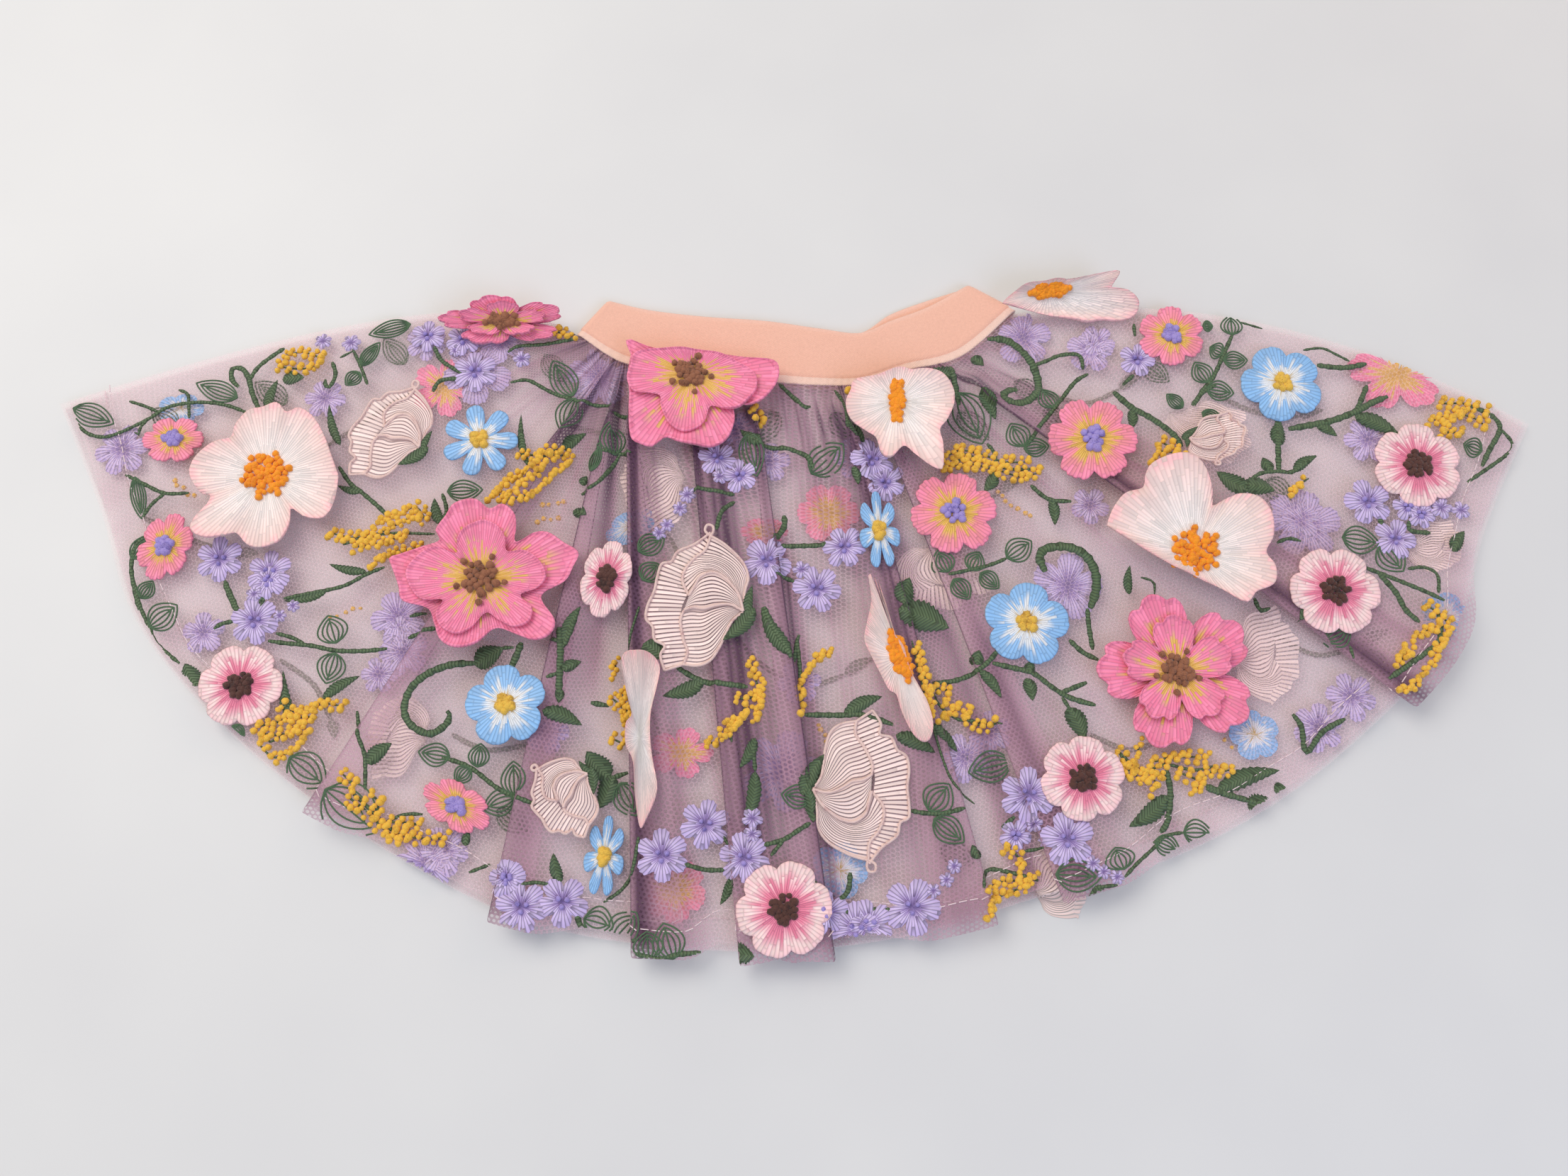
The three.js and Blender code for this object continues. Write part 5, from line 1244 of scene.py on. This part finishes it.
outlinedLeaves = [
    (6, (-264, 45), (-259, 27)), (7, (-261, 10), (-255, 20)), (7, (-256, -6), (-252, 1)), (10, (-294, 76),
    (-276, 69)), (9, (-226, 80), (-244, 87)), (8, (-157, 114), (-174, 109)), (6, (-176, 94), (-169, 105)),
    (7, (-176, 91), (-181, 85)), (11, (-87, 80), (-96, 96)), (11, (-86, 79), (-91, 64)), (10, (-69, 54),
    (-71, 67)), (5, (-78, 46), (-75, 58)), (9, (-136, 38), (-122, 39)), (10, (-15, 63), (-11, 44)), (14,
    (11, 46), (24, 58)), (9, (-58, 12), (-48, 18)), (9, (-56, 0), (-50, 7)), (18, (72, 82), (81, 59)), (9,
    (111, 74), (106, 83)), (10, (98, 58), (93, 68)), (8, (98, 57), (108, 58)), (6, (164, 75), (158, 81)),
    (9, (65, 3), (61, 12)), (8, (67, 0), (73, -8)), (8, (74, 4), (78, 12)), (8, (78, 3), (85, -3)), (10,
    (89, 10), (99, 17)), (9, (188, 109), (188, 118)), (8, (183, 100), (178, 103)), (8, (183, 97),
    (193, 97)), (9, (176, 87), (171, 96)), (9, (175, 84), (186, 82)), (5, (176, 113), (180, 113)), (6,
    (172, 73), (180, 69)), (12, (223, 18), (238, 16)), (13, (238, 15), (246, 4)), (9, (286, 57), (279, 60)),
    (12, (-251, -18), (-241, -9)), (12, (-176, -25), (-180, -14)), (11, (-176, -29), (-179, -41)), (5,
    (-214, -58), (-209, -62)), (14, (-191, -70), (-176, -81)), (20, (-175, -83), (-155, -99)), (9,
    (-129, -70), (-141, -68)), (8, (-118, -74), (-117, -65)), (7, (-121, -74), (-126, -80)), (10,
    (-103, -85), (-104, -72)), (10, (-103, -86), (-115, -90)), (11, (-63, -80), (-56, -93)), (9, (10, -87),
    (-1, -85)), (12, (-75, -131), (-64, -134)), (12, (-64, -139), (-55, -129)), (12, (-41, -146),
    (-45, -133)), (11, (-50, -146), (-51, -136)), (12, (55, -91), (63, -81)), (10, (57, -94), (68, -103)),
    (12, (87, -72), (71, -76)), (10, (152, -99), (163, -99)), (8, (141, -102), (150, -106)), (12,
    (128, -113), (125, -105)), (12, (102, -115), (119, -116)), (10, (212, -25), (222, -20))]
# Lilac fans as a reach and a place, and sprigs of yellow knots
lilacFans = [
    (8.5, (-226, 10)), (8.3, (-205, 4)), (3.3, (-210, -5)), (6.6, (-149, 108)), (6.6, (-134, 106)), (8.2,
    (-128, 91)), (3.3, (-193, 106)), (3.7, (-181, 105)), (3.3, (-109, 97)), (2.6, (-137, 101)), (7.1,
    (-27, 52)), (6.6, (-18, 45)), (2.8, (-26, 44)), (3.3, (-39, 37)), (2.8, (-42, 31)), (2.6, (-47, 24)),
    (2.6, (-50, 20)), (9.0, (-7, 8)), (7.7, (24, 14)), (8.7, (13, -3)), (3.3, (7, 5)), (8.2, (36, 52)),
    (7.1, (41, 42)), (6.8, (147, 97)), (8.7, (236, 34)), (7.9, (245, 18)), (5.5, (252, 32)), (5.5,
    (257, 29)), (4.4, (266, 32)), (3.5, (274, 31)), (8.7, (-209, -16)), (6.6, (-205, 0)), (2.6, (-210, -5)),
    (2.4, (-199, -14)), (2.4, (-194, -10)), (6.6, (-104, -117)), (8.5, (-30, -96)), (9.0, (-46, -108)),
    (8.7, (-15, -109)), (3.7, (-12, -94)), (3.1, (-12, -100)), (8.5, (-83, -125)), (8.7, (-98, -127)), (6.0,
    (-104, -116)), (7.7, (16, -129)), (9.3, (27, -135)), (9.3, (93, -85)), (9.3, (107, -102)), (5.5,
    (88, -100)), (2.8, (116, -111)), (2.6, (120, -114)), (2.6, (125, -116)), (9.6, (48, -127)), (2.6,
    (56, -121)), (2.6, (61, -117)), (2.6, (64, -112)), (8.2, (32, -133)), (2.8, (95, -96))]
sprigs = [
    [(-181, 20), (-172, 18), (-162, 20), (-151, 26), (-146, 28)], [(-163, 24), (-153, 29), (-148, 31),
    (-144, 26)], [(-164, 7), (-157, 12), (-146, 14)], [(-171, 14), (-161, 16), (-152, 19)], [(-209, 99),
    (-201, 101), (-193, 98)], [(-209, 94), (-201, 93), (-194, 94)], [(-118, 36), (-113, 42), (-106, 46),
    (-99, 51), (-89, 54)], [(-117, 38), (-109, 34), (-101, 37), (-94, 45), (-87, 52)], [(-108, 54),
    (-100, 54), (-91, 55)], [(-112, 36), (-105, 41), (-98, 46)], [(-13, 73), (-9, 68)], [(-105, 109),
    (-97, 110), (-86, 109)], [(66, 54), (73, 56), (82, 54), (90, 51), (99, 51)], [(66, 49), (75, 50),
    (86, 48), (95, 45), (103, 46)], [(70, 52), (79, 51)], [(27, 84), (32, 82)], [(149, 51), (154, 55),
    (159, 54)], [(154, 59), (159, 56), (162, 52)], [(272, 78), (282, 78), (290, 75)], [(266, 70), (276, 73),
    (284, 72), (289, 68)], [(271, 65), (278, 65)], [(272, 68), (280, 74)], [(205, 38), (210, 42)], [(-204,
    -58), (-196, -56), (-188, -52), (-180, -49), (-172, -50)], [(-203, -65), (-197, -70), (-190, -67),
    (-185, -61)], [(-195, -50), (-190, -54), (-183, -54)], [(-202, -61), (-194, -61), (-187, -58)], [(-169,
    -77), (-164, -81)], [(-166, -86), (-159, -91), (-152, -98), (-146, -101)], [(-158, -85), (-155, -87),
    (-155, -92)], [(-151, -95), (-145, -95), (-139, -96)], [(-149, -99), (-139, -101), (-129, -101)], [(-66,
    -33), (-66, -38)], [(-67, -47), (-62, -52), (-61, -59)], [(-66, -63), (-62, -65)], [(-63, -44),
    (-60, -57)], [(-29, -65), (-23, -63), (-18, -58), (-14, -53)], [(-23, -58), (-17, -56)], [(-18, -48),
    (-12, -47), (-9, -43)], [(-13, -33), (-11, -40), (-9, -47), (-11, -55)], [(6, -42), (10, -36),
    (13, -31), (18, -29)], [(7, -52), (7, -46)], [(58, -43), (64, -44), (63, -48), (66, -51)], [(61, -55),
    (67, -51), (71, -53)], [(70, -52), (73, -57), (80, -58)], [(52, -28), (54, -37), (56, -46), (57, -55)],
    [(129, -68), (132, -74), (137, -79)], [(130, -75), (136, -76), (143, -80), (141, -83)], [(137, -65),
    (136, -70)], [(142, -72), (151, -70), (163, -70)], [(139, -76), (146, -76)], [(152, -76), (161, -80),
    (157, -83)], [(162, -76), (172, -75)], [(84, -105), (88, -107), (90, -112)], [(78, -119), (83, -117),
    (90, -117), (95, -116)], [(78, -125), (83, -122), (92, -119)], [(77, -130), (79, -123)], [(254, -10),
    (261, -17), (260, -24), (254, -28)], [(247, -23), (253, -20), (257, -19)], [(254, -33), (249, -37),
    (245, -41)], [(242, -28), (245, -30), (239, -33)], [(239, -45), (246, -42)]]

# Stitching: how each kind is made
stitching = {
    "lift": 0.12,  # over the cloth
    "stemStep": 1.5, "stemRise": 0.45, "stemEnds": ([0, 0.08, 0.92, 1], [0.55, 1, 1, 0.5]), "stemBeat": 0.16,
    "outline": 0.36, "outlineLoops": (1.0, 0.68, 0.36), "leafHeight": 0.1,
    "stepOff": 1.2,  # a line breaks where the cloth drops by this much
    "fanRise": 0.7, "fanSpokes": 60, "smallFanSpokes": 32, "smallFan": 4.5, "fanGrowth": 1.15,
    "fanLobe": [0.56, 0.86, 0.96, 1, 1, 1, 0.96, 0.86, 0.56], "fanRings": [0, 0.15, 0.35, 0.6, 0.82, 1.0],
    "fanHeights": ([0, 0.2, 0.6, 0.85, 1], [0.5, 0.6, 1.3, 0.9, 0.05]),
    "fanHeart": (0.4, 2.5, 4.6), "fanHeartReach": 0.22,
    "knotPitch": 2.6, "knotSize": 1.35, "sprigStem": 0.8,
    "sprigPitch": 1.2, "sprigRows": (-2.1, 0, 2.1), "rowStep": (0.5, 0.85),
}


def onCloth(panel):
    return lambda plan, heights: drape([panel["tree"]], plan, heights + stitching["lift"])


# A satin stem: thread laid across a crowned strip
def stem(shape, place, points, width):
    count = max(4, int(lengthOf(points) / stitching["stemStep"]))
    middle = smoothLine(points, count)
    onward = np.gradient(middle, axis=0)
    onward /= np.linalg.norm(onward, axis=1, keepdims=True)
    sideways = np.stack([-onward[:, 1], onward[:, 0]], axis=-1)
    s = np.linspace(-1, 1, 5)[None, :]
    taper = np.interp(np.linspace(0, 1, count), *stitching["stemEnds"])
    taper = (taper * (1 + stitching["stemBeat"] * np.sin(2.4 * np.arange(count))))[:, None]
    plan = middle[:, None] + (s * width / 2 * taper)[..., None] * sideways[:, None]
    spots, inside = place(plan, stitching["stemRise"] * (1 - s ** 2) * taper)
    way = wayAlong(middle)[:, None]
    uv = np.stack(np.broadcast_arrays(way + 0.3 * np.abs(s), s * width / 2), axis=-1)
    addFaces(shape, spots, gridFaces(count, 5)[:, ::-1], uv, np.broadcast_to(np.abs(s), (count, 5)), inside)


def lineEdges(start, count):
    return [(start + step, start + step + 1) for step in range(count - 1)]


# Lines that strands of thread will follow; one is broken where it leaves the cloth or steps off a fold
def addLine(lines, place, plan, height=0.1):
    points, inside = place(np.array(plan)[None], np.full((1, len(plan)), height))
    start = len(lines["points"])
    lines["points"].extend(points[0].tolist())
    for step in range(len(plan) - 1):
        level = abs(points[0, step, 2] - points[0, step + 1, 2]) < stitching["stepOff"]
        if inside[0, step] and inside[0, step + 1] and level:
            lines["edges"].append((start + step, start + step + 1))


# A leaf drawn as loops of thread inside each other, with a vein
def outlinedLeaf(lines, place, base, tip, width):
    base, length, onward, sideways = axesOf(base, tip)
    t = np.linspace(0, 1, 12)
    for share in stitching["outlineLoops"]:
        half = share * width / 2 * np.sin(math.pi * t ** 0.85) ** 0.8
        reach = length * (1 - 0.35 * (1 - share) * t)
        for side in (1, -1):
            plan = base + (t * reach)[:, None] * onward + (side * half)[:, None] * sideways
            addLine(lines, place, plan)
    addLine(lines, place, base + (t * length * 0.9)[:, None] * onward)


# A small lilac floret: round lobes of single stitches, highest midway and low at the edge
def lilacFan(shape, place, spot, reach, rng):
    lobes = rng.integers(5, 7)
    spokes = stitching["fanSpokes" if reach > stitching["smallFan"] else "smallFanSpokes"]
    turn = rng.uniform(0, 2 * math.pi)
    lobed = petalled(lobes, stitching["fanLobe"], turn)

    def outline(angle):
        teeth = np.where(np.arange(len(angle)) % 2 == 0, 1.0, 0.95)
        return lobed(angle) * teeth

    rings = stitching["fanRings"]
    heights = np.interp(rings, *stitching["fanHeights"]) * stitching["fanRise"]
    moved = shifted(place, np.array(spot))
    rosette(shape, moved, reach * stitching["fanGrowth"], outline, rings, heights, None, spokes, threads=0.6)


def knotsAlong(rng, place, points, pitch, jitter, size):
    count = max(2, int(lengthOf(points) / pitch) + 1)
    plan = smoothLine(points, count) + rng.uniform(-jitter, jitter, (count, 2))
    spots, inside = place(plan[None], np.full((1, count), 0.3))
    return np.column_stack([spots[0], size * rng.uniform(0.8, 1.15, count)])[inside[0]]


onFront, onInner, onBack = onCloth(netFront), onCloth(liningFront), onCloth(netBack)
innerLeaves = [
    (10, (-206, 78), (-220, 88)), (9, (-158, 96), (-168, 108)), (9, (-250, 68), (-262, 76)), (11, (-2, 74),
    (-14, 60)), (9, (-14, 88), (-24, 76)), (12, (72, -66), (84, -80)), (10, (72, 74), (84, 62)), (10,
    (108, 76), (118, 62)), (9, (96, 88), (106, 80)), (9, (-100, 100), (-92, 88)), (9, (150, 96), (160, 88)),
    (10, (20, 74), (28, 62)), (9, (-110, -90), (-98, -98)), (10, (196, 44), (206, 36)), (9, (228, -28),
    (238, -36)), (9, (60, -104), (72, -110))]
stemShape, fanShape = newShape(), newShape()
leafLines = {"points": [], "edges": []}
for width, points in stems:
    stem(stemShape, onFront, points, width)
for width, foot, tip in satinLeaves:
    leaf(stemShape, onFront, foot, tip, width, stitching["leafHeight"])
for width, foot, tip in outlinedLeaves:
    outlinedLeaf(leafLines, onFront, foot, tip, width)
for width, foot, tip in innerLeaves:
    outlinedLeaf(leafLines, onInner, foot, tip, width)
for reach, spot in lilacFans:
    lilacFan(fanShape, onFront, spot, reach, rng)
    if reach > stitching["smallFan"]:
        heart = stitching["fanHeartReach"] * reach
        heartKnots = [(heart * math.cos(turn), heart * math.sin(turn)) for turn in stitching["fanHeart"]]
        spots, inside = onFront(np.array([heartKnots]) + np.array(spot), np.full((1, 3), 0.9))
        knots["lilac"].append(np.column_stack([spots[0], np.full(3, 1.0)])[inside[0]])
for points in sprigs:
    stem(stemShape, onFront, points, stitching["sprigStem"])
    for shift in stitching["sprigRows"]:
        moved = np.array(points, float) + shift * np.array(stitching["rowStep"])
        pitch = stitching["knotPitch"] * stitching["sprigPitch"]
        knots["mimosa"].append(knotsAlong(rng, onFront, moved, pitch, 0.6, stitching["knotSize"]))
print("stitching on the front made")

# Seen through the front net: stitching on what is folded under it, and on the back net.
# A blossom has its kind, place, reach, turn and the share of its width.
backMotifs = [
    ("rose", 256, 92, 22, 10, 0.8), ("rose", -141, 85, 14, 0, 1), ("aster", 18, 30, 13, 0, 1),
    ("aster", -42, -120, 13, 20, 1), ("blue", 21, -113, 11, 0, 1), ("blue", 263, -13, 10, 0, 1),
    ("blue", -250, 76, 10, 0, 0.7), ("blue", 183, -61, 10, 15, 1), ("aster", -8, 22, 10, 0, 0.6),
    ("bell", 190, -31, 19, 190, 1), ("bell", 60, 3, 19, 100, 1), ("bell", -53, 43, 19, 30, 1),
    ("bell", 105, -118, 15, 215, 1), ("bell", 262, 15, 16, 180, 0.7), ("bell", -150, -60, 17, 0, 1),
    ("bell", 172, 64, 25, 155, 0.62), ("rose", -40, -68, 13, 0, 0.8), ("blue", -62, 24, 11, 30, 0.6)]
backFans = [
    (9, (-272, 58)), (11, (-77, 90)), (10, (100, 108)), (6.4, (131, 106)), (6.4, (124, 33)), (11.4,
    (113, -1)), (11.5, (211, 25)), (10, (-136, -110)), (6, (-152, -20)), (6, (-159, -37)), (13, (-1, -75)),
    (8, (222, -46)), (8, (208, -58)), (7, (-230, -20)), (7, (-92, -60)), (8, (70, -70)), (7, (-190, 80)),
    (8, (240, 62)), (12, (-128, 92)), (7, (-150, 106)), (9, (-153, -14)), (8, (-150, -28)), (8,
    (-130, -106)), (8, (-118, 106)), (8, (128, 102)), (10, (207, 28)), (7, (-19, 66)), (7, (-6, 52)), (8,
    (30, 54)), (7, (6, -40)), (7, (80, -60))]
backSprigs = [
    [(-249, 44), (-240, 37)], [(-98, 33), (-89, 35)], [(-99, 26), (-91, 28)], [(86, 39), (93, 33),
    (100, 28)], [(13, -57), (17, -64)], [(171, -63), (174, -66)], [(-180, -14), (-168, -10)], [(60, 78),
    (66, 70)]]
backStems = [
    (2.0, [(-262, 30), (-240, 20), (-222, 14)]), (2.0, [(-190, 60), (-176, 70), (-160, 82), (-140, 88)]),
    (1.8, [(-150, 30), (-128, 26), (-112, 16)]), (2.0, [(-90, 70), (-70, 66), (-52, 70)]), (2.0, [(-60, 30),
    (-46, 20), (-40, 4)]), (2.0, [(-20, -20), (-6, -34), (10, -40), (24, -36)]), (2.0, [(60, 40), (74, 34),
    (88, 40)]), (1.8, [(110, 84), (126, 80), (140, 86)]), (2.2, [(180, 84), (196, 76), (214, 74)]), (2.0,
    [(196, -20), (212, -28), (230, -24)]), (2.0, [(120, -60), (136, -66), (150, -60)]), (2.0, [(30, -60),
    (34, -76), (30, -92)]), (1.8, [(-60, -40), (-50, -56), (-52, -72)]), (2.0, [(-130, -60), (-116, -66),
    (-100, -64)]), (2.0, [(-200, -30), (-186, -40), (-178, -54)]), (2.0, [(230, 10), (244, 20), (258, 18)])]
behind = {kind: newShape() for kind in flowers}
for kind, x, y, reach, turn, narrow in backMotifs:
    spin = math.radians(turn)

    def flat(plan, heights, spot=(x, y), spin=spin, narrow=narrow):
        return onInner(turnPlan(plan[..., 0], plan[..., 1] * narrow, spin, *spot), heights * 0.3)

    if kind == "bell":
        bellSheets(behind[kind], flat, reach, 0.6, 0.6, 0.5)
    else:
        outline = petalled(petalCounts[kind], petalEdges[kind], spin)
        rosette(behind[kind], flat, reach, outline, np.linspace(0, 1, 8), np.full(8, 0.8))
for reach, spot in backFans:
    lilacFan(fanShape, onInner, spot, reach * 1.1, rng)
for points in backSprigs:
    knots["mimosa"].append(knotsAlong(rng, onInner, points, stitching["knotPitch"], 0.8, 1.0))
for width, points in backStems:
    stem(stemShape, onBack, points, width)
    end, before = np.array(points[-1], float), np.array(points[-2], float)
    onward = (end - before) / np.linalg.norm(end - before)
    leaf(stemShape, onBack, end, end + 11 * onward + 4 * onward[::-1], 5, stitching["leafHeight"])

stemShape["faces"] += [faces + stemShape["count"] for faces in calyxes["faces"]]
for part in ("points", "uv", "reach"):
    stemShape[part] += calyxes[part]

leafColours = [(0, "#5f7350"), (0.7, "#4e6345"), (1, "#3b4c36")]
# The last numbers of the stem and fan threads set how dark the painted shade between strands is
leafThread = rayonThread("stems and leaves, satin-stitched rayon", leafColours, 1.3, 30, gapShade=0.6)
fanColours = [(0, "#8f76b2"), (0.3, "#b498d2"), (0.6, "#d8c4ec"), (1, "#ccb6e4")]
fanThread = rayonThread("lilac fans, single rayon stitches", fanColours, 1.1, 30, gapShade=0.6)
stitchPieces = {
    "stemsAndLeaves": finishPiece("stemsAndLeaves", stemShape, leafThread),
    "lilacFans": finishPiece("lilacFans", fanShape, fanThread),
}
for kind, shape in behind.items():
    if shape["count"]:
        stitchPieces[kind + "OnBack"] = finishPiece(kind + "OnBack", shape, threadLooks[kind])

strands, rows, balls = strandTree(), stitchTree(), knotTree()
stitchPieces["leafOutlines"] = grow("leafOutlines", leafLines["points"], leafLines["edges"], strands, {
    "Radius": stitching["outline"] * metre, "Sides": 5,
    "Material": knottedThread("leaf outlines, single green thread", "#506c4c", "#354c38")})
cordPoints, cordEdges = [], []
for cord in bellCords:
    cordEdges += lineEdges(len(cordPoints), len(cord))
    cordPoints += cord.tolist()
stitchPieces["bellCords"] = grow("bellCords", cordPoints, cordEdges, strands, {
    "Radius": bell["cord"] * metre, "Sides": 8,
    "Material": knottedThread("bell edges, corded rayon", "#efcfc6", "#c99a98")})

# Each knotted thread's name, its own colour, and the darker colour painted as shade in its hollows
knotLooks = {
    "brown": ("rose hearts, knotted rayon", "#9a6244", "#55301f"),
    "orange": ("white blossoms' hearts, knotted rayon", "#ff9d14", "#d87208"),
    "darkBrown": ("anemone hearts, knotted rayon", "#573229", "#24120f"),
    "lilac": ("lilac hearts, knotted rayon", "#a996d8", "#65549a"),
    "yellow": ("blue blossoms' hearts, knotted rayon", "#efc04a", "#a56e12"),
    "mimosa": ("mimosa, knotted rayon", "#f6c040", "#b9831c"),
}
for seed, (colour, (words, light, paintedShade)) in enumerate(knotLooks.items()):
    spots = np.concatenate(knots[colour])
    stitchPieces[colour + "Knots"] = grow(colour + "Knots", spots[:, :3], [], balls, {
        "Size": metre, "Spread": 0.12, "Lumps": 0.7, "Seed": seed + 3,
        "Material": knottedThread(words, light, paintedShade)}, spots[:, 3])

# Hem stitching: a wavy line of single stitches on each net where its hem is turned up
hem = {"down": 0.952, "wave": 1.2, "pitch": 4.2, "stitch": 3.1, "radius": 0.22}


def hemLine(panel, down):
    row = np.interp(down, panel["rows"], np.arange(len(panel["rows"])))
    low = int(row)
    line = mix(panel["points"][low], panel["points"][low + 1], row - low)
    onward = panel["points"][low + 1] - panel["points"][low]
    onward /= np.linalg.norm(onward, axis=1, keepdims=True)
    wave = hem["wave"] * np.sin(panel["cloth"] / 17) + 0.6 * np.sin(panel["cloth"] / 6.1)
    line = line + wave[:, None] * onward
    line[:, 2] += 0.25
    return line


for name, panel in (("frontHemStitches", netFront), ("backHemStitches", netBack)):
    line = hemLine(panel, hem["down"])
    stitchPieces[name] = grow(name, line, lineEdges(0, len(line)), rows, {
        "Pitch": hem["pitch"] * metre, "Length": hem["stitch"] * metre, "Radius": hem["radius"] * metre,
        "Material": knottedThread(name + ", pale polyester thread", "#f1d9dc", "#cfaeb4")})
print("stitching made")

# Hide the solids that these pieces draw, and hang every piece from the root body
for name, node in (("frontNet", "net_front"), ("backNet", "net_back"), ("frontLining", "lining_front"),
                   ("backLining", "lining_back")):
    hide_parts(node)
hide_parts("waistband")
for kind, piece in blossomPieces.items():
    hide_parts(*[f"{kind}_{number + 1}" for number in range(len(flowers[kind]))])
for piece in [*netPieces.values(), waistband, *blossomPieces.values(), *stitchPieces.values()]:
    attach(piece, "root")


# Camera, light and floor
def aim(thing, target):
    thing.rotation_euler = (target - thing.location).to_track_quat("-Z", "Y").to_euler()


eye = {"target": (-0.0037, 0.0079, 0.0), "distance": 0.620, "above": 74.0, "fieldOfView": 54.0}
cameraData = bpy.data.cameras.new("camera")
cameraData.sensor_width = 36.0
cameraData.lens = 18 / math.tan(math.radians(eye["fieldOfView"] / 2))
cameraData.clip_start = 0.02
camera = bpy.data.objects.new("camera", cameraData)
bpy.context.scene.collection.objects.link(camera)
above = math.radians(eye["above"])
target = Vector(eye["target"])
camera.location = target + Vector((0, -math.cos(above), math.sin(above))) * eye["distance"]
aim(camera, target)
bpy.context.scene.camera = camera


# Each light's place, size, power and colour
lights = {
    "window daylight": ((-1.1, 0.9, 1.9), (1.7, 1.5), 31.5, "#fffaf2"),
    "cool window": ((1.2, -1.4, 1.7), (1.4, 1.2), 17.0, "#c2d4ff"),
    "warm room": ((1.3, 1.4, 1.1), (0.7, 0.7), 3.0, "#ffc68e"),
}
for name, (place, size, power, colour) in lights.items():
    data = bpy.data.lights.new(name, "AREA")
    data.shape = "RECTANGLE"
    data.size, data.size_y = size
    data.energy = power
    data.color = linear(colour)[:3]
    lamp = bpy.data.objects.new(name, data)
    bpy.context.scene.collection.objects.link(lamp)
    lamp.location = place
    aim(lamp, Vector((0, 0, 0)))
world = bpy.data.worlds.new("pale room")
world.use_nodes = True
world.node_tree.nodes["Background"].inputs["Color"].default_value = linear("#f4f6f8")
world.node_tree.nodes["Background"].inputs["Strength"].default_value = 0.5
bpy.context.scene.world = world
bpy.context.scene.view_settings.view_transform = "Standard"
bpy.context.scene.cycles.transparent_max_bounces = 40

# Smooth white laminate: faint mottling only
laminate = {"mottling": 9.0, "colours": [(0.3, "#dedddc"), (0.7, "#e3e2e0")]}


def whiteLaminate(name):
    material, add = startMaterial(name)
    place = add("ShaderNodeTexCoord", out="Object")
    mottle = add("ShaderNodeTexNoise", {"Vector": place, "Scale": laminate["mottling"], "Detail": 3.0})
    colour = add("ShaderNodeValToRGB", [mottle], stops=laminate["colours"])
    return endMaterial(material, add, {"Roughness": 0.45, "Base Color": colour})


floorMesh = bpy.data.meshes.new("table")
floorMesh.from_pydata([(-3, -3, 0), (3, -3, 0), (3, 3, 0), (-3, 3, 0)], [], [(0, 1, 2, 3)])
floorMesh.materials.append(whiteLaminate("table, white laminate"))
floor = bpy.data.objects.new("table", floorMesh)
bpy.context.scene.collection.objects.link(floor)
floor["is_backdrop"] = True
print("camera, light and table made")

size = {"cad": cadBox, "scene": [list(corner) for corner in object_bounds()]}
print("size", size)
